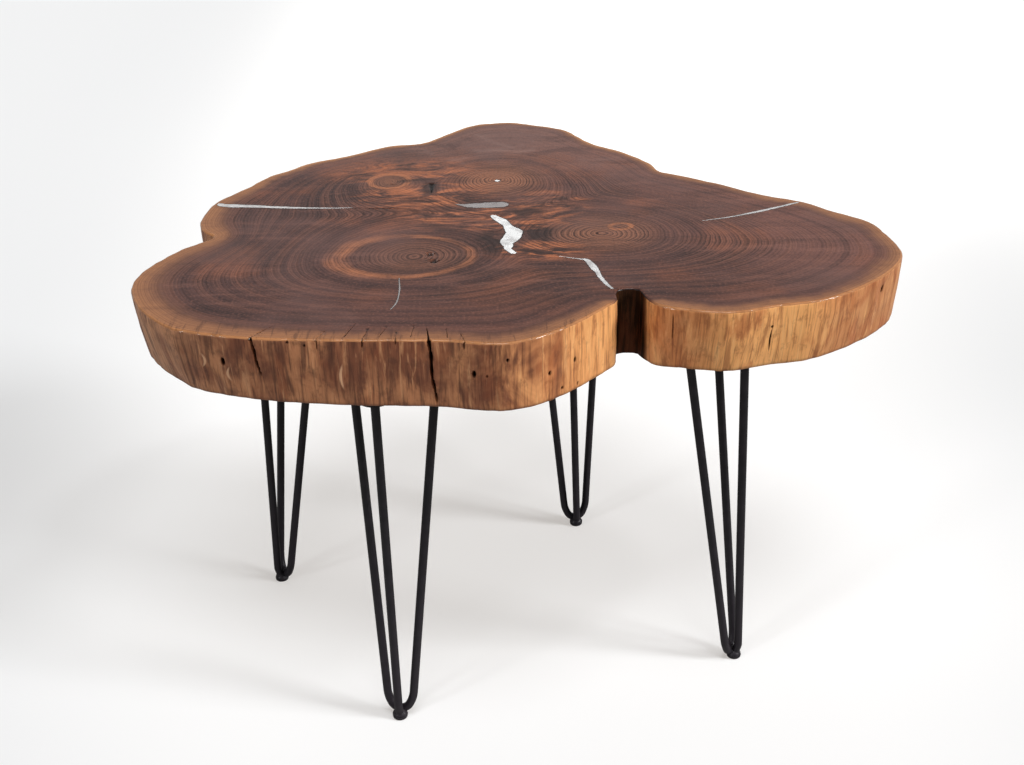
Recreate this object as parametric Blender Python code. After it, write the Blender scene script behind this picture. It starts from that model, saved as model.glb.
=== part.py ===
"""Tree slice table: a lobed cross-cut slab with resin-filled voids, on four three-rod hairpin legs.

Metres, +Z up, floor at z = 0. Plan places are percentages of the slab's length (x) and width (y),
measured from the middle of its outline, so they follow the slab when it is resized.
"""
import math

import bmesh
import bpy
from mathutils import Matrix, Vector

# Slab
SLAB_LENGTH = 0.834
SLAB_WIDTH = 0.731
SLAB_THICKNESS = 0.076
TOP_EASE = 0.004
BOTTOM_EASE = 0.003
UNDERCUT = 0.020

# Resin fills
RESIN_DEPTH = 0.014

# Legs
LEG_HEIGHT = 0.406
ROD_DIAMETER = 0.0095
NOSE_RADIUS = 0.0115
NOSE_TURN = 60
SHOULDER_RADIUS = 0.040
HAIRPIN_SPREAD = 0.089
HAIRPIN_REACH = 0.058
STRUT_REACH = 0.0085
STRUT_SIDESTEP = -0.009
PLATE_THICKNESS = 0.005
PLATE_MARGIN = 0.017

# Feet
PUCK_DIAMETER = 0.017
PUCK_THICKNESS = 0.0015
PUCK_BORE = 0.005
GLIDE_DIAMETER = 0.0165
GLIDE_HEIGHT = 0.002
GLIDE_TREAD = 0.011

# Screws
SCREW_SHANK = 0.0042
SCREW_LENGTH = 0.032
SCREW_HEAD = 0.0085
SCREW_HEAD_HEIGHT = 0.003
SCREW_POINT = 0.007
SCREW_TIP = 0.0006
SCREW_EDGE = 0.009

# Clearances
FIT = 0.0003
HOLE_CLEARANCE = 0.0004

# Facets
RIM_STEPS = 3
RIBBON_STEPS = 4
ROD_SIDES = 12
NOSE_STEPS = 4
SHOULDER_STEPS = 3
SCREW_SIDES = 10
FOOT_SIDES = 24

# Live edge, anticlockwise from the cleft at the left: x, y in percent, then the share of the
# undercut that the wall has there
RIM = (
    (-42.5, -9.4, 0.2), (-45.9, -14.3, 0.2), (-49.2, -22.0, 0.2), (-50.0, -28.2, 0.4),
    (-47.7, -36.0, 0.8), (-44.9, -40.6, 1.0), (-42.3, -43.6, 1.0), (-38.7, -45.4, 0.9),
    (-32.5, -47.2, 0.7), (-20.6, -48.3, 0.3), (-11.3, -48.6, 0.2), (-7.8, -49.1, 0.1),
    (-3.1, -50.0, 0.1), (1.6, -47.9, 0.0), (6.5, -42.9, 0.0), (9.6, -38.7, 0.0),
    (11.3, -36.0, 0.0), (11.4, -33.4, 0.0), (11.9, -32.5, 0.0), (14.0, -32.4, 0.0),
    (14.6, -33.6, 0.0), (15.1, -36.3, 0.3), (16.5, -38.4, 0.7), (18.8, -39.6, 0.9),
    (24.7, -41.0, 0.9), (31.1, -38.8, 0.8), (36.3, -37.3, 0.8), (41.2, -33.6, 0.7),
    (46.3, -27.8, 0.5), (49.3, -22.4, 0.3), (50.0, -18.4, 0.2), (49.2, -10.7, 0.2),
    (48.4, -7.2, 0.2), (43.9, -1.4, 0.3), (40.4, 3.0, 0.3), (35.1, 6.7, 0.3),
    (29.9, 12.1, 0.3), (24.3, 17.1, 0.3), (21.4, 19.4, 0.2), (20.2, 23.9, 0.3),
    (16.0, 31.1, 0.3), (13.0, 34.3, 0.3), (11.4, 36.5, 0.3), (8.4, 43.2, 0.3),
    (6.9, 45.3, 0.3), (1.9, 48.4, 0.3), (-1.6, 50.0, 0.3), (-4.9, 49.5, 0.3),
    (-7.5, 48.7, 0.3), (-11.6, 43.6, 0.3), (-14.7, 38.8, 0.2), (-16.3, 37.3, 0.2),
    (-21.2, 36.0, 0.3), (-27.2, 30.7, 0.3), (-33.3, 26.4, 0.3), (-35.9, 22.8, 0.3),
    (-38.7, 19.4, 0.3), (-41.0, 13.9, 0.3), (-44.5, 7.0, 0.3), (-45.5, 0.7, 0.3),
    (-45.3, -4.1, 0.3), (-44.1, -7.3, 0.2),
)

# Resin fills as ribbons: x, y in percent, then the ribbon's width in metres
RESIN = {
    "resin_left_crack": ((-43.2, 4.8, 0.012), (-39.6, 4.3, 0.013), (-35.2, 3.5, 0.010),
                         (-30.7, 3.0, 0.008), (-26.4, 2.8, 0.006), (-24.6, 2.9, 0.004)),
    "resin_centre_pool": ((-9.5, 2.4, 0.008), (-7.6, 2.9, 0.019), (-4.6, 2.9, 0.022),
                          (-2.6, 3.0, 0.017), (-1.8, 3.2, 0.008)),
    "resin_centre_river": ((-4.3, -1.6, 0.007), (-2.8, -4.6, 0.013), (-2.0, -7.3, 0.012),
                           (-1.2, -9.0, 0.020), (-1.5, -11.6, 0.021), (-2.2, -14.2, 0.014),
                           (-2.1, -16.4, 0.008), (-1.2, -18.5, 0.007)),
    "resin_notch_crack": ((4.7, -19.8, 0.003), (6.4, -20.6, 0.004), (8.3, -21.6, 0.007),
                          (9.1, -24.6, 0.010), (9.6, -27.6, 0.006), (10.3, -30.6, 0.005)),
    "resin_right_crack": ((25.2, -5.5, 0.004), (29.4, -3.9, 0.006), (33.1, -1.9, 0.007),
                          (36.4, 0.1, 0.006), (38.6, 1.6, 0.005)),
    "resin_front_check": ((-16.1, -27.5, 0.0024), (-15.8, -31.9, 0.003), (-15.9, -36.2, 0.003),
                          (-16.5, -38.7, 0.0024)),
    "resin_pith_plug": ((-3.8, 15.5, 0.007), (-3.4, 15.5, 0.007)),
}

# Legs: foot's x, y in percent, then the heading of the strut's side in degrees
LEGS = {
    "front": (-17.6, -45.6, -98.7),
    "right": (29.5, -31.7, -26.4),
    "rear": (8.5, 8.8, -78.9),
    "left": (-38.2, -8.0, -145.7),
}

# Worked out from the sizes above
ROD_RADIUS = ROD_DIAMETER / 2
ROD_OFFSET = ROD_RADIUS + FIT
SLAB_TOP = LEG_HEIGHT + SLAB_THICKNESS
PLATE_TOP = LEG_HEIGHT - FIT
PLATE_BOTTOM = PLATE_TOP - PLATE_THICKNESS
ROD_TOP = PLATE_BOTTOM - FIT
PUCK_BOTTOM = GLIDE_HEIGHT + FIT
PUCK_TOP = PUCK_BOTTOM + PUCK_THICKNESS
ROD_FOOT = PUCK_TOP + FIT


def clear_scene():
    for item in list(bpy.data.objects):
        bpy.data.objects.remove(item, do_unlink=True)


def make_material(name, colour, roughness, metallic=0.0):
    made = bpy.data.materials.new(name)
    made.use_nodes = True
    shader = made.node_tree.nodes["Principled BSDF"]
    shader.inputs["Base Color"].default_value = (*colour, 1.0)
    shader.inputs["Roughness"].default_value = roughness
    shader.inputs["Metallic"].default_value = metallic
    return made


def add_object(name, bm, material, parent=None):
    """Turn a bmesh into a named object, smooth over its gentle edges."""
    mesh = bpy.data.meshes.new(name)
    bm.to_mesh(mesh)
    bm.free()
    mesh.materials.append(material)
    mesh.shade_smooth()
    mesh.set_sharp_from_angle(angle=math.radians(35))
    made = bpy.data.objects.new(name, mesh)
    made.parent = parent
    bpy.context.scene.collection.objects.link(made)
    return made


def cut(target, name, bm):
    """Subtract a bmesh, kept as a hidden wire cutter in world space, from an object."""
    mesh = bpy.data.meshes.new(name)
    bm.to_mesh(mesh)
    bm.free()
    cutter = bpy.data.objects.new(name, mesh)
    cutter.hide_render = True
    cutter.display_type = "WIRE"
    bpy.context.scene.collection.objects.link(cutter)
    boolean = target.modifiers.new(name, "BOOLEAN")
    boolean.operation = "DIFFERENCE"
    boolean.solver = "EXACT"
    boolean.object = cutter


def place(x, y):
    """Plan point from percentages of the slab's length and width."""
    return Vector((x / 100 * SLAB_LENGTH, y / 100 * SLAB_WIDTH, 0))


def curve_through(points, steps, closed):
    """Samples of a centripetal Catmull-Rom curve through points whose third value rides along."""
    if closed:
        ends = points[-1:] + points + points[:2]
    else:
        ends = [2 * points[0] - points[1]] + points + [2 * points[-1] - points[-2]]
    samples = []
    for p0, p1, p2, p3 in zip(ends, ends[1:], ends[2:], ends[3:]):
        t1 = (p1 - p0).xy.length ** 0.5
        t2 = t1 + (p2 - p1).xy.length ** 0.5
        t3 = t2 + (p3 - p2).xy.length ** 0.5
        for step in range(steps):
            t = t1 + (t2 - t1) * step / steps
            a1 = p0.lerp(p1, t / t1)
            a2 = p1.lerp(p2, (t - t1) / (t2 - t1))
            a3 = p2.lerp(p3, (t - t2) / (t3 - t2))
            b1 = a1.lerp(a2, t / t2)
            b2 = a2.lerp(a3, (t - t1) / (t3 - t1))
            samples.append(b1.lerp(b2, (t - t1) / (t2 - t1)))
    return samples if closed else samples + [points[-1].copy()]


def inward(outline):
    """Unit normals that point into an anticlockwise outline."""
    normals = []
    for before, after in zip(outline[-1:] + outline[:-1], outline[1:] + outline[:1]):
        along = (after - before).xy.normalized()
        normals.append(Vector((-along.y, along.x, 0)))
    return normals


def at_height(outline, height):
    return [Vector((point.x, point.y, height)) for point in outline]


def loft(bm, rings, looped=False):
    """Skin over rings of equal count, capped at both ends, or joined last to first when looped."""
    made = [[bm.verts.new(point) for point in ring] for ring in rings]
    pairs = list(zip(made, made[1:])) + ([(made[-1], made[0])] if looped else [])
    for low, high in pairs:
        for index in range(len(low)):
            after = (index + 1) % len(low)
            bm.faces.new((low[index], low[after], high[after], high[index]))
    if not looped:
        bm.faces.new(made[0][::-1])
        bm.faces.new(made[-1])


def circle(radius, height, sides, centre=(0, 0)):
    """Ring of points on a level circle, anticlockwise from above."""
    turns = [2 * math.pi * side / sides for side in range(sides)]
    return [Vector((centre[0] + radius * math.cos(turn), centre[1] + radius * math.sin(turn), height))
            for turn in turns]


def tube_rings(path, radius, sides):
    """Rings square to a path, with the first and last cut level at the path's own end heights."""
    rings = []
    side = None
    for index, point in enumerate(path):
        ahead = (path[min(index + 1, len(path) - 1)] - point).normalized()
        behind = (point - path[max(index - 1, 0)]).normalized()
        along = (ahead + behind).normalized()
        side = (side or Vector((1, 0, 0)))
        side = (side - along * side.dot(along)).normalized()
        across = along.cross(side)
        turns = [2 * math.pi * k / sides for k in range(sides)]
        ring = [point + radius * (math.cos(turn) * side + math.sin(turn) * across) for turn in turns]
        if index in (0, len(path) - 1):
            ring = [corner + along * (point.z - corner.z) / along.z for corner in ring]
        rings.append(ring)
    return rings


def rim_outline():
    """Live edge as sampled points, fitted to the slab's length and width about the origin."""
    samples = curve_through([Vector(point) for point in RIM], RIM_STEPS, True)
    xs = [point.x for point in samples]
    ys = [point.y for point in samples]
    middle = Vector(((min(xs) + max(xs)) / 2, (min(ys) + max(ys)) / 2, 0))
    fit = Matrix.Diagonal((SLAB_LENGTH / (max(xs) - min(xs)), SLAB_WIDTH / (max(ys) - min(ys)), 1))
    return [fit @ (point - middle) for point in samples]


def slab_rings():
    """Live-edge wall from the underside up: eased edges, and a wall that draws in below."""
    rim = rim_outline()
    normals = inward(rim)
    rounding = [math.radians(angle) for angle in (0, 45, 90)]
    levels = [(BOTTOM_EASE * (1 - math.cos(a)), BOTTOM_EASE * (1 - math.sin(a))) for a in rounding]
    levels += [(SLAB_THICKNESS * share, 0) for share in (0.3, 0.6)]
    levels += [(SLAB_THICKNESS - TOP_EASE * (1 - math.cos(a)), TOP_EASE * (1 - math.sin(a)))
               for a in reversed(rounding)]
    rings = []
    for height, ease in levels:
        draw = UNDERCUT * (1 - height / SLAB_THICKNESS) ** 1.5
        wall = [point + normal * (ease + draw * point.z) for point, normal in zip(rim, normals)]
        rings.append(at_height(wall, LEG_HEIGHT + height))
    return rings


def ribbon_outline(stations):
    """Anticlockwise outline of a ribbon with round ends, its width set at each station."""
    spine = curve_through([place(x, y) + Vector((0, 0, width)) for x, y, width in stations],
                          RIBBON_STEPS, False)
    right, left = [], []
    for index, point in enumerate(spine):
        along = (spine[min(index + 1, len(spine) - 1)] - spine[max(index - 1, 0)]).xy.normalized()
        across = Vector((-along.y, along.x, 0)) * point.z / 2
        right.append(point - across)
        left.append(point + across)
    ends = []
    for middle, start in ((spine[-1], right[-1]), (spine[0], left[0])):
        arm = start - middle
        ends.append([middle + Matrix.Rotation(math.radians(angle), 3, "Z") @ arm
                     for angle in (45, 90, 135)])
    return right + ends[0] + left[::-1] + ends[1]


def add_slab(wood, screw_places):
    bm = bmesh.new()
    loft(bm, slab_rings())
    slab = add_object("slab", bm, wood)
    pockets = bmesh.new()
    for stations in RESIN.values():
        outline = ribbon_outline(stations)
        loft(pockets, [at_height(outline, SLAB_TOP - RESIN_DEPTH), at_height(outline, SLAB_TOP + TOP_EASE)])
    cut(slab, "cut_resin_pockets", pockets)
    pilots = bmesh.new()
    radius = SCREW_SHANK / 2 + FIT
    reach = PLATE_BOTTOM + SCREW_LENGTH + FIT
    for spot in screw_places:
        loft(pilots, [circle(radius, LEG_HEIGHT - BOTTOM_EASE, SCREW_SIDES, spot),
                      circle(radius, reach, SCREW_SIDES, spot)])
    cut(slab, "cut_screw_pilots", pilots)


def add_resin(resin):
    for name, stations in RESIN.items():
        outline = ribbon_outline(stations)
        filled = [point + normal * FIT for point, normal in zip(outline, inward(outline))]
        bm = bmesh.new()
        loft(bm, [at_height(filled, SLAB_TOP - RESIN_DEPTH + FIT), at_height(filled, SLAB_TOP)])
        add_object(name, bm, resin)


def rod_tops():
    """Plan places in a leg's own frame where its two hairpin rods and its strut meet the plate."""
    return (Vector((-HAIRPIN_REACH, HAIRPIN_SPREAD / 2, 0)),
            Vector((-HAIRPIN_REACH, -HAIRPIN_SPREAD / 2, 0)),
            Vector((-STRUT_REACH, STRUT_SIDESTEP, 0)))


def plate_screw_spots():
    """Two screws behind the hairpin rods and one outside each rod-to-strut edge, in a leg's frame."""
    one, other, strut = rod_tops()
    push = PLATE_MARGIN - SCREW_EDGE
    spots = [Vector((-HAIRPIN_REACH - push, share * HAIRPIN_SPREAD, 0)) for share in (0.25, -0.25)]
    for start, end in ((strut, one), (other, strut)):
        along = (end - start).normalized()
        spots.append((start + end) / 2 + push * Vector((along.y, -along.x, 0)))
    return spots


def arc(radius, centre, start, end, steps):
    """Points of an arc in a plane, from one angle to another."""
    angles = [start + (end - start) * step / steps for step in range(steps + 1)]
    return [(centre[0] + radius * math.cos(a), centre[1] + radius * math.sin(a)) for a in angles]


def hairpin_path():
    """Axis of the bent rod in one leaning plane: straight down, round a shoulder, the nose and the
    other shoulder, and straight up. Each arc runs on from the one before, and the straights touch
    the shoulders.
    """
    low = ROD_FOOT + ROD_RADIUS
    lean = math.atan2(HAIRPIN_REACH - ROD_OFFSET, ROD_TOP - low)
    rise = (ROD_TOP - low) / math.cos(lean)
    half = HAIRPIN_SPREAD / 2
    join = math.radians(NOSE_TURN - 90)
    shoulder = ((NOSE_RADIUS - SHOULDER_RADIUS) * math.cos(join),
                NOSE_RADIUS + (NOSE_RADIUS - SHOULDER_RADIUS) * math.sin(join))
    over, up = half - shoulder[0], rise - shoulder[1]
    touch = math.atan2(up, over) - math.acos(SHOULDER_RADIUS / math.hypot(over, up))
    side = [(half, rise), *arc(SHOULDER_RADIUS, shoulder, touch, join, SHOULDER_STEPS)]
    side += arc(NOSE_RADIUS, (0, NOSE_RADIUS), join, -math.pi / 2, NOSE_STEPS)[1:]
    flat = side + [(-across, height) for across, height in reversed(side[:-1])]
    return [Vector((-ROD_OFFSET - height * math.sin(lean), across, low + height * math.cos(lean)))
            for across, height in flat]


def add_plate(name, steel, leg):
    """Plate as the hull of a disc round each rod's top, drilled for its screws."""
    bm = bmesh.new()
    for top in rod_tops():
        for height in (PLATE_BOTTOM, PLATE_TOP):
            for point in circle(PLATE_MARGIN, height, FOOT_SIDES, top):
                bm.verts.new(point)
    hull = bmesh.ops.convex_hull(bm, input=bm.verts)
    spare = set(hull["geom_interior"] + hull["geom_unused"])
    bmesh.ops.delete(bm, geom=[item for item in spare if isinstance(item, bmesh.types.BMVert)], context="VERTS")
    bmesh.ops.dissolve_limit(bm, angle_limit=math.radians(1), verts=bm.verts, edges=bm.edges)
    plate = add_object(name, bm, steel, leg)
    holes = bmesh.new()
    radius = SCREW_SHANK / 2 + HOLE_CLEARANCE
    for spot in plate_screw_spots():
        loft(holes, [circle(radius, PLATE_BOTTOM - PLATE_THICKNESS, SCREW_SIDES, spot),
                     circle(radius, PLATE_TOP + PLATE_THICKNESS, SCREW_SIDES, spot)])
    bmesh.ops.transform(holes, matrix=leg.matrix_basis, verts=holes.verts)
    cut(plate, f"cut_{name}_holes", holes)


def add_rods(station, steel, leg):
    bm = bmesh.new()
    loft(bm, tube_rings(hairpin_path(), ROD_RADIUS, ROD_SIDES))
    add_object(f"{station}_hairpin", bm, steel, leg)
    bm = bmesh.new()
    strut = [Vector((ROD_OFFSET, 0, ROD_FOOT)), Vector((-STRUT_REACH, STRUT_SIDESTEP, ROD_TOP))]
    loft(bm, tube_rings(strut, ROD_RADIUS, ROD_SIDES))
    add_object(f"{station}_strut", bm, steel, leg)


def add_foot(station, steel, nylon, leg):
    """Steel puck under the rods, and a domed floor glide whose stem sits in the puck's bore."""
    outer = PUCK_DIAMETER / 2
    bore = PUCK_BORE / 2
    puck = ((outer, PUCK_BOTTOM), (outer, PUCK_TOP), (bore, PUCK_TOP), (bore, PUCK_BOTTOM))
    bm = bmesh.new()
    loft(bm, [circle(radius, height, FOOT_SIDES) for radius, height in puck], looped=True)
    add_object(f"{station}_puck", bm, steel, leg)
    tread = GLIDE_TREAD / 2
    crown = GLIDE_DIAMETER / 2 - tread
    dome = [math.radians(angle) for angle in (0, 30, 60, 90)]
    glide = [(tread + crown * math.sin(a), GLIDE_HEIGHT * 0.8 * (1 - math.cos(a))) for a in dome]
    stem = bore - FIT
    glide += [(GLIDE_DIAMETER / 2, GLIDE_HEIGHT), (stem, GLIDE_HEIGHT), (stem, PUCK_TOP - FIT)]
    bm = bmesh.new()
    loft(bm, [circle(radius, height, FOOT_SIDES) for radius, height in glide])
    add_object(f"{station}_glide", bm, nylon, leg)


def add_screws(station, zinc, leg):
    """Pan-head wood screws, driven upwards through the plate into the slab."""
    head = SCREW_HEAD / 2
    shank = SCREW_SHANK / 2
    seat = PLATE_BOTTOM - FIT
    point = PLATE_BOTTOM + SCREW_LENGTH
    profile = [(head * 0.55, seat - SCREW_HEAD_HEIGHT), (head * 0.9, seat - SCREW_HEAD_HEIGHT * 0.7),
               (head, seat - SCREW_HEAD_HEIGHT * 0.3), (head, seat), (shank, seat),
               (shank, point - SCREW_POINT), (SCREW_TIP / 2, point)]
    for number, spot in enumerate(plate_screw_spots(), start=1):
        bm = bmesh.new()
        loft(bm, [circle(radius, height, SCREW_SIDES, spot) for radius, height in profile])
        add_object(f"{station}_screw_{number}", bm, zinc, leg)


def add_leg(station, steel, nylon, zinc):
    """One leg under an empty at its foot, whose x axis is the strut's side."""
    x, y, heading = LEGS[station]
    leg = bpy.data.objects.new(f"leg_{station}", None)
    leg.location = place(x, y)
    leg.rotation_euler = (0, 0, math.radians(heading))
    bpy.context.scene.collection.objects.link(leg)
    add_plate(f"{station}_plate", steel, leg)
    add_rods(station, steel, leg)
    add_foot(station, steel, nylon, leg)
    add_screws(station, zinc, leg)
    return [leg.matrix_basis @ spot for spot in plate_screw_spots()]


def main():
    clear_scene()
    wood = make_material("walnut", (0.19, 0.09, 0.045), 0.35)
    resin = make_material("pearl_resin", (0.82, 0.82, 0.80), 0.25)
    steel = make_material("black_steel", (0.022, 0.021, 0.022), 0.45, 0.3)
    nylon = make_material("black_nylon", (0.018, 0.018, 0.018), 0.55)
    zinc = make_material("zinc_screw", (0.55, 0.54, 0.50), 0.35, 1.0)
    screw_places = []
    for station in LEGS:
        screw_places += add_leg(station, steel, nylon, zinc)
    add_slab(wood, screw_places)
    add_resin(resin)


main()
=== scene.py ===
import math

import bpy
import numpy as np
from mathutils import Matrix, Vector
from mathutils.geometry import delaunay_2d_cdt


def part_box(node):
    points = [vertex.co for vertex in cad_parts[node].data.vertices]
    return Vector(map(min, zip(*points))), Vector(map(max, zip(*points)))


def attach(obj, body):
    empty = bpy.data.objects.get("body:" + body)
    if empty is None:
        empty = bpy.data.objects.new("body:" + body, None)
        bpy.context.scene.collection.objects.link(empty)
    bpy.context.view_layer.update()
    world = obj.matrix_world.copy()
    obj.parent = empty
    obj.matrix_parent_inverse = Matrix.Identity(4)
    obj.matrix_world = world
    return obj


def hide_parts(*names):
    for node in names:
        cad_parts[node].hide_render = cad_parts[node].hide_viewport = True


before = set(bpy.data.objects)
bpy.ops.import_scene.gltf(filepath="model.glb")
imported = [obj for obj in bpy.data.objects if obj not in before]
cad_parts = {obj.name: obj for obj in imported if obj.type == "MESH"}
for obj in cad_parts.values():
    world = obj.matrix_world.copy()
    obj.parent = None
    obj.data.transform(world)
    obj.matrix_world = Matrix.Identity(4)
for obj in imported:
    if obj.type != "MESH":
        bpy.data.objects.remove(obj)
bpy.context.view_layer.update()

# Camera, for a picture of 1024 x 765
CAMERA_PLACE = (-0.0149, -1.6007, 1.069)
CAMERA_TILT = 63.0
CAMERA_ROLL = -0.8
CAMERA_LENS = 50.0
SENSOR_WIDTH = 36.0
ROOM_WHITE = (0.98, 0.99, 1.0, 1.0)

# Slab, with its box and the two full wall rings from the frame
SLAB_LOW, SLAB_HIGH = (np.array(corner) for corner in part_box("slab"))
SLAB_THICKNESS = SLAB_HIGH[2] - SLAB_LOW[2]
TOP_EASE = 0.004
TOP_ROUND = 0.0026
BOTTOM_EASE = 0.003
FACE_DROP = 0.00025
COLUMNS = 800
WALL_ROWS = 60
TOP_BEND_ROWS = 5
LOW_BEND_ROWS = 3
FACE_LATTICE = 0.005
UNDER_LATTICE = 0.011
STRAIGHTENING = 0.03
SMOOTHING = 31
HANG = (2.2, 1.0)

# Legs
LEGS = ("front", "right", "rear", "left")
NOSE_RADIUS = 0.0115
NOSE_TURN = 60.0
SHOULDER_RADIUS = 0.040
ROD_SIDES = 28

# Piths: place in metres, the stretch of their rings across and along, a head start in metres, and glow
PITHS = (
    (-0.120, -0.137, 0.92, 1.10, 0.000, 0.25),
    (-0.030, 0.118, 1.00, 1.00, 0.004, 0.85),
    (0.092, -0.075, 0.92, 1.05, 0.002, 0.60),
    (-0.163, 0.117, 1.15, 1.10, 0.022, 0.70),
)
RING_COUNT = 66.0
RING_CROWDING = 1.3
SAPWOOD = 0.022
EYE_PLACE = (-0.133, -0.134)
EYE_RADII = (0.0750, 0.0590)

# Ringed knots: middle, radii and the ring's width as a share of them
KNOTS = (
    (0.115, -0.054, 0.012, 0.010, 0.36),
    (-0.163, 0.117, 0.026, 0.024, 0.20),
)

# Flame figure between the piths: middle and radii in metres
FLAMES = (
    (-0.040, -0.020, 0.150, 0.060),
    (-0.120, 0.060, 0.110, 0.080),
    (0.030, 0.030, 0.070, 0.060),
    (0.020, -0.125, 0.080, 0.040),
    (-0.150, 0.150, 0.120, 0.070),
)

# Dark stains beside the resin: middle and radii in metres
STAINS = (
    (-0.035, -0.100, 0.024, 0.050),
    (0.022, -0.075, 0.020, 0.060),
    (0.004, 0.000, 0.034, 0.020),
    (0.024, -0.128, 0.046, 0.014),
    (-0.112, 0.090, 0.014, 0.040),
)

# Drying cracks down the wall: x and y near the rim, half-width, depth, lean along the rim, share of the
# wall's height that the crack reaches down, and its reach over the top
CRACKS = (
    (-0.0955, -0.353, 0.0017, 0.011, 0.0055, 1.00, 0.026),
    (-0.270, -0.343, 0.0014, 0.008, 0.012, 0.62, 0.030),
    (-0.205, -0.350, 0.0006, 0.003, 0.002, 0.16, 0.022),
    (-0.160, -0.352, 0.0006, 0.003, 0.001, 0.12, 0.026),
    (-0.128, -0.353, 0.0005, 0.002, 0.001, 0.08, 0.020),
    (-0.060, -0.358, 0.0006, 0.003, 0.002, 0.12, 0.020),
    (0.405, -0.052, 0.0010, 0.005, 0.006, 0.80, 0.006),
    (0.108, 0.250, 0.0012, 0.006, -0.008, 0.90, 0.003),
    (-0.227, 0.224, 0.0012, 0.006, 0.010, 0.70, 0.003),
)

# Beetle holes, slits and knots in the wall: x and y near the rim, share of the height, half-width, depth,
# and height over width
PITS = (
    (-0.3010, -0.337, 0.60, 0.0021, 0.005, 2.4),
    (-0.2330, -0.346, 0.95, 0.0014, 0.003, 1.0),
    (-0.2170, -0.348, 0.91, 0.0012, 0.003, 1.2),
    (-0.0510, -0.360, 0.54, 0.0020, 0.006, 1.9),
    (-0.0385, -0.361, 0.52, 0.0010, 0.003, 1.6),
    (-0.0190, -0.364, 0.75, 0.0013, 0.004, 1.5),
    (0.0230, -0.343, 0.42, 0.0014, 0.004, 1.8),
    (0.0340, -0.331, 0.13, 0.0014, 0.004, 1.3),
    (0.0480, -0.319, 0.46, 0.0016, 0.005, 1.8),
    (0.0510, -0.316, 0.09, 0.0012, 0.003, 1.4),
    (0.1500, -0.285, 0.70, 0.0007, 0.002, 21.0),
    (0.2520, -0.287, 0.46, 0.0007, 0.002, 20.0),
    (0.2520, -0.287, 0.68, 0.0014, 0.003, 1.0),
    (0.3800, -0.208, 0.78, 0.0024, 0.005, 1.8),
    (0.3000, 0.044, 0.50, 0.0024, 0.005, 1.6),
    (-0.3300, 0.120, 0.35, 0.0026, 0.005, 1.6),
)

# Pale scars in the wall: x and y near the rim, share of the height, half-width, height over width, and bow
SCARS = (
    (-0.3195, -0.3300, 0.58, 0.0013, 6.0, -45.0),
    (-0.2985, -0.3380, 0.40, 0.0012, 6.5, 35.0),
    (-0.1830, -0.3510, 0.45, 0.0014, 9.0, 12.0),
)

# Marks sunk in the top: from x, y to x, y, half-width at the start, depth
FACE_MARKS = (
    (-0.1030, -0.1320, -0.0985, -0.1310, 0.0056, 0.006),
    (-0.0980, -0.1530, -0.0930, -0.1515, 0.0062, 0.006),
    (-0.1122, 0.1040, -0.1112, 0.0740, 0.0052, 0.002),
    (-0.1635, 0.1055, -0.1605, 0.1045, 0.0018, 0.002),
    (0.0850, -0.0755, 0.0866, -0.0755, 0.0020, 0.002),
    (-0.2050, 0.0208, -0.1460, 0.0136, 0.0007, 0.001),
    (-0.1780, -0.3450, -0.1690, -0.3130, 0.0006, 0.001),
    (-0.1440, -0.3460, -0.1370, -0.3220, 0.0005, 0.001),
    (-0.1130, -0.3470, -0.1110, -0.3210, 0.0005, 0.001),
    (-0.0770, -0.3500, -0.0790, -0.3270, 0.0005, 0.001),
)

# Notch in the front of the wall, with shade painted inside: middle and radii
NOTCH_PLACE = (0.110, -0.243)
NOTCH_RADII = (0.019, 0.022)
NOTCH_REACH = 1.9

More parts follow.
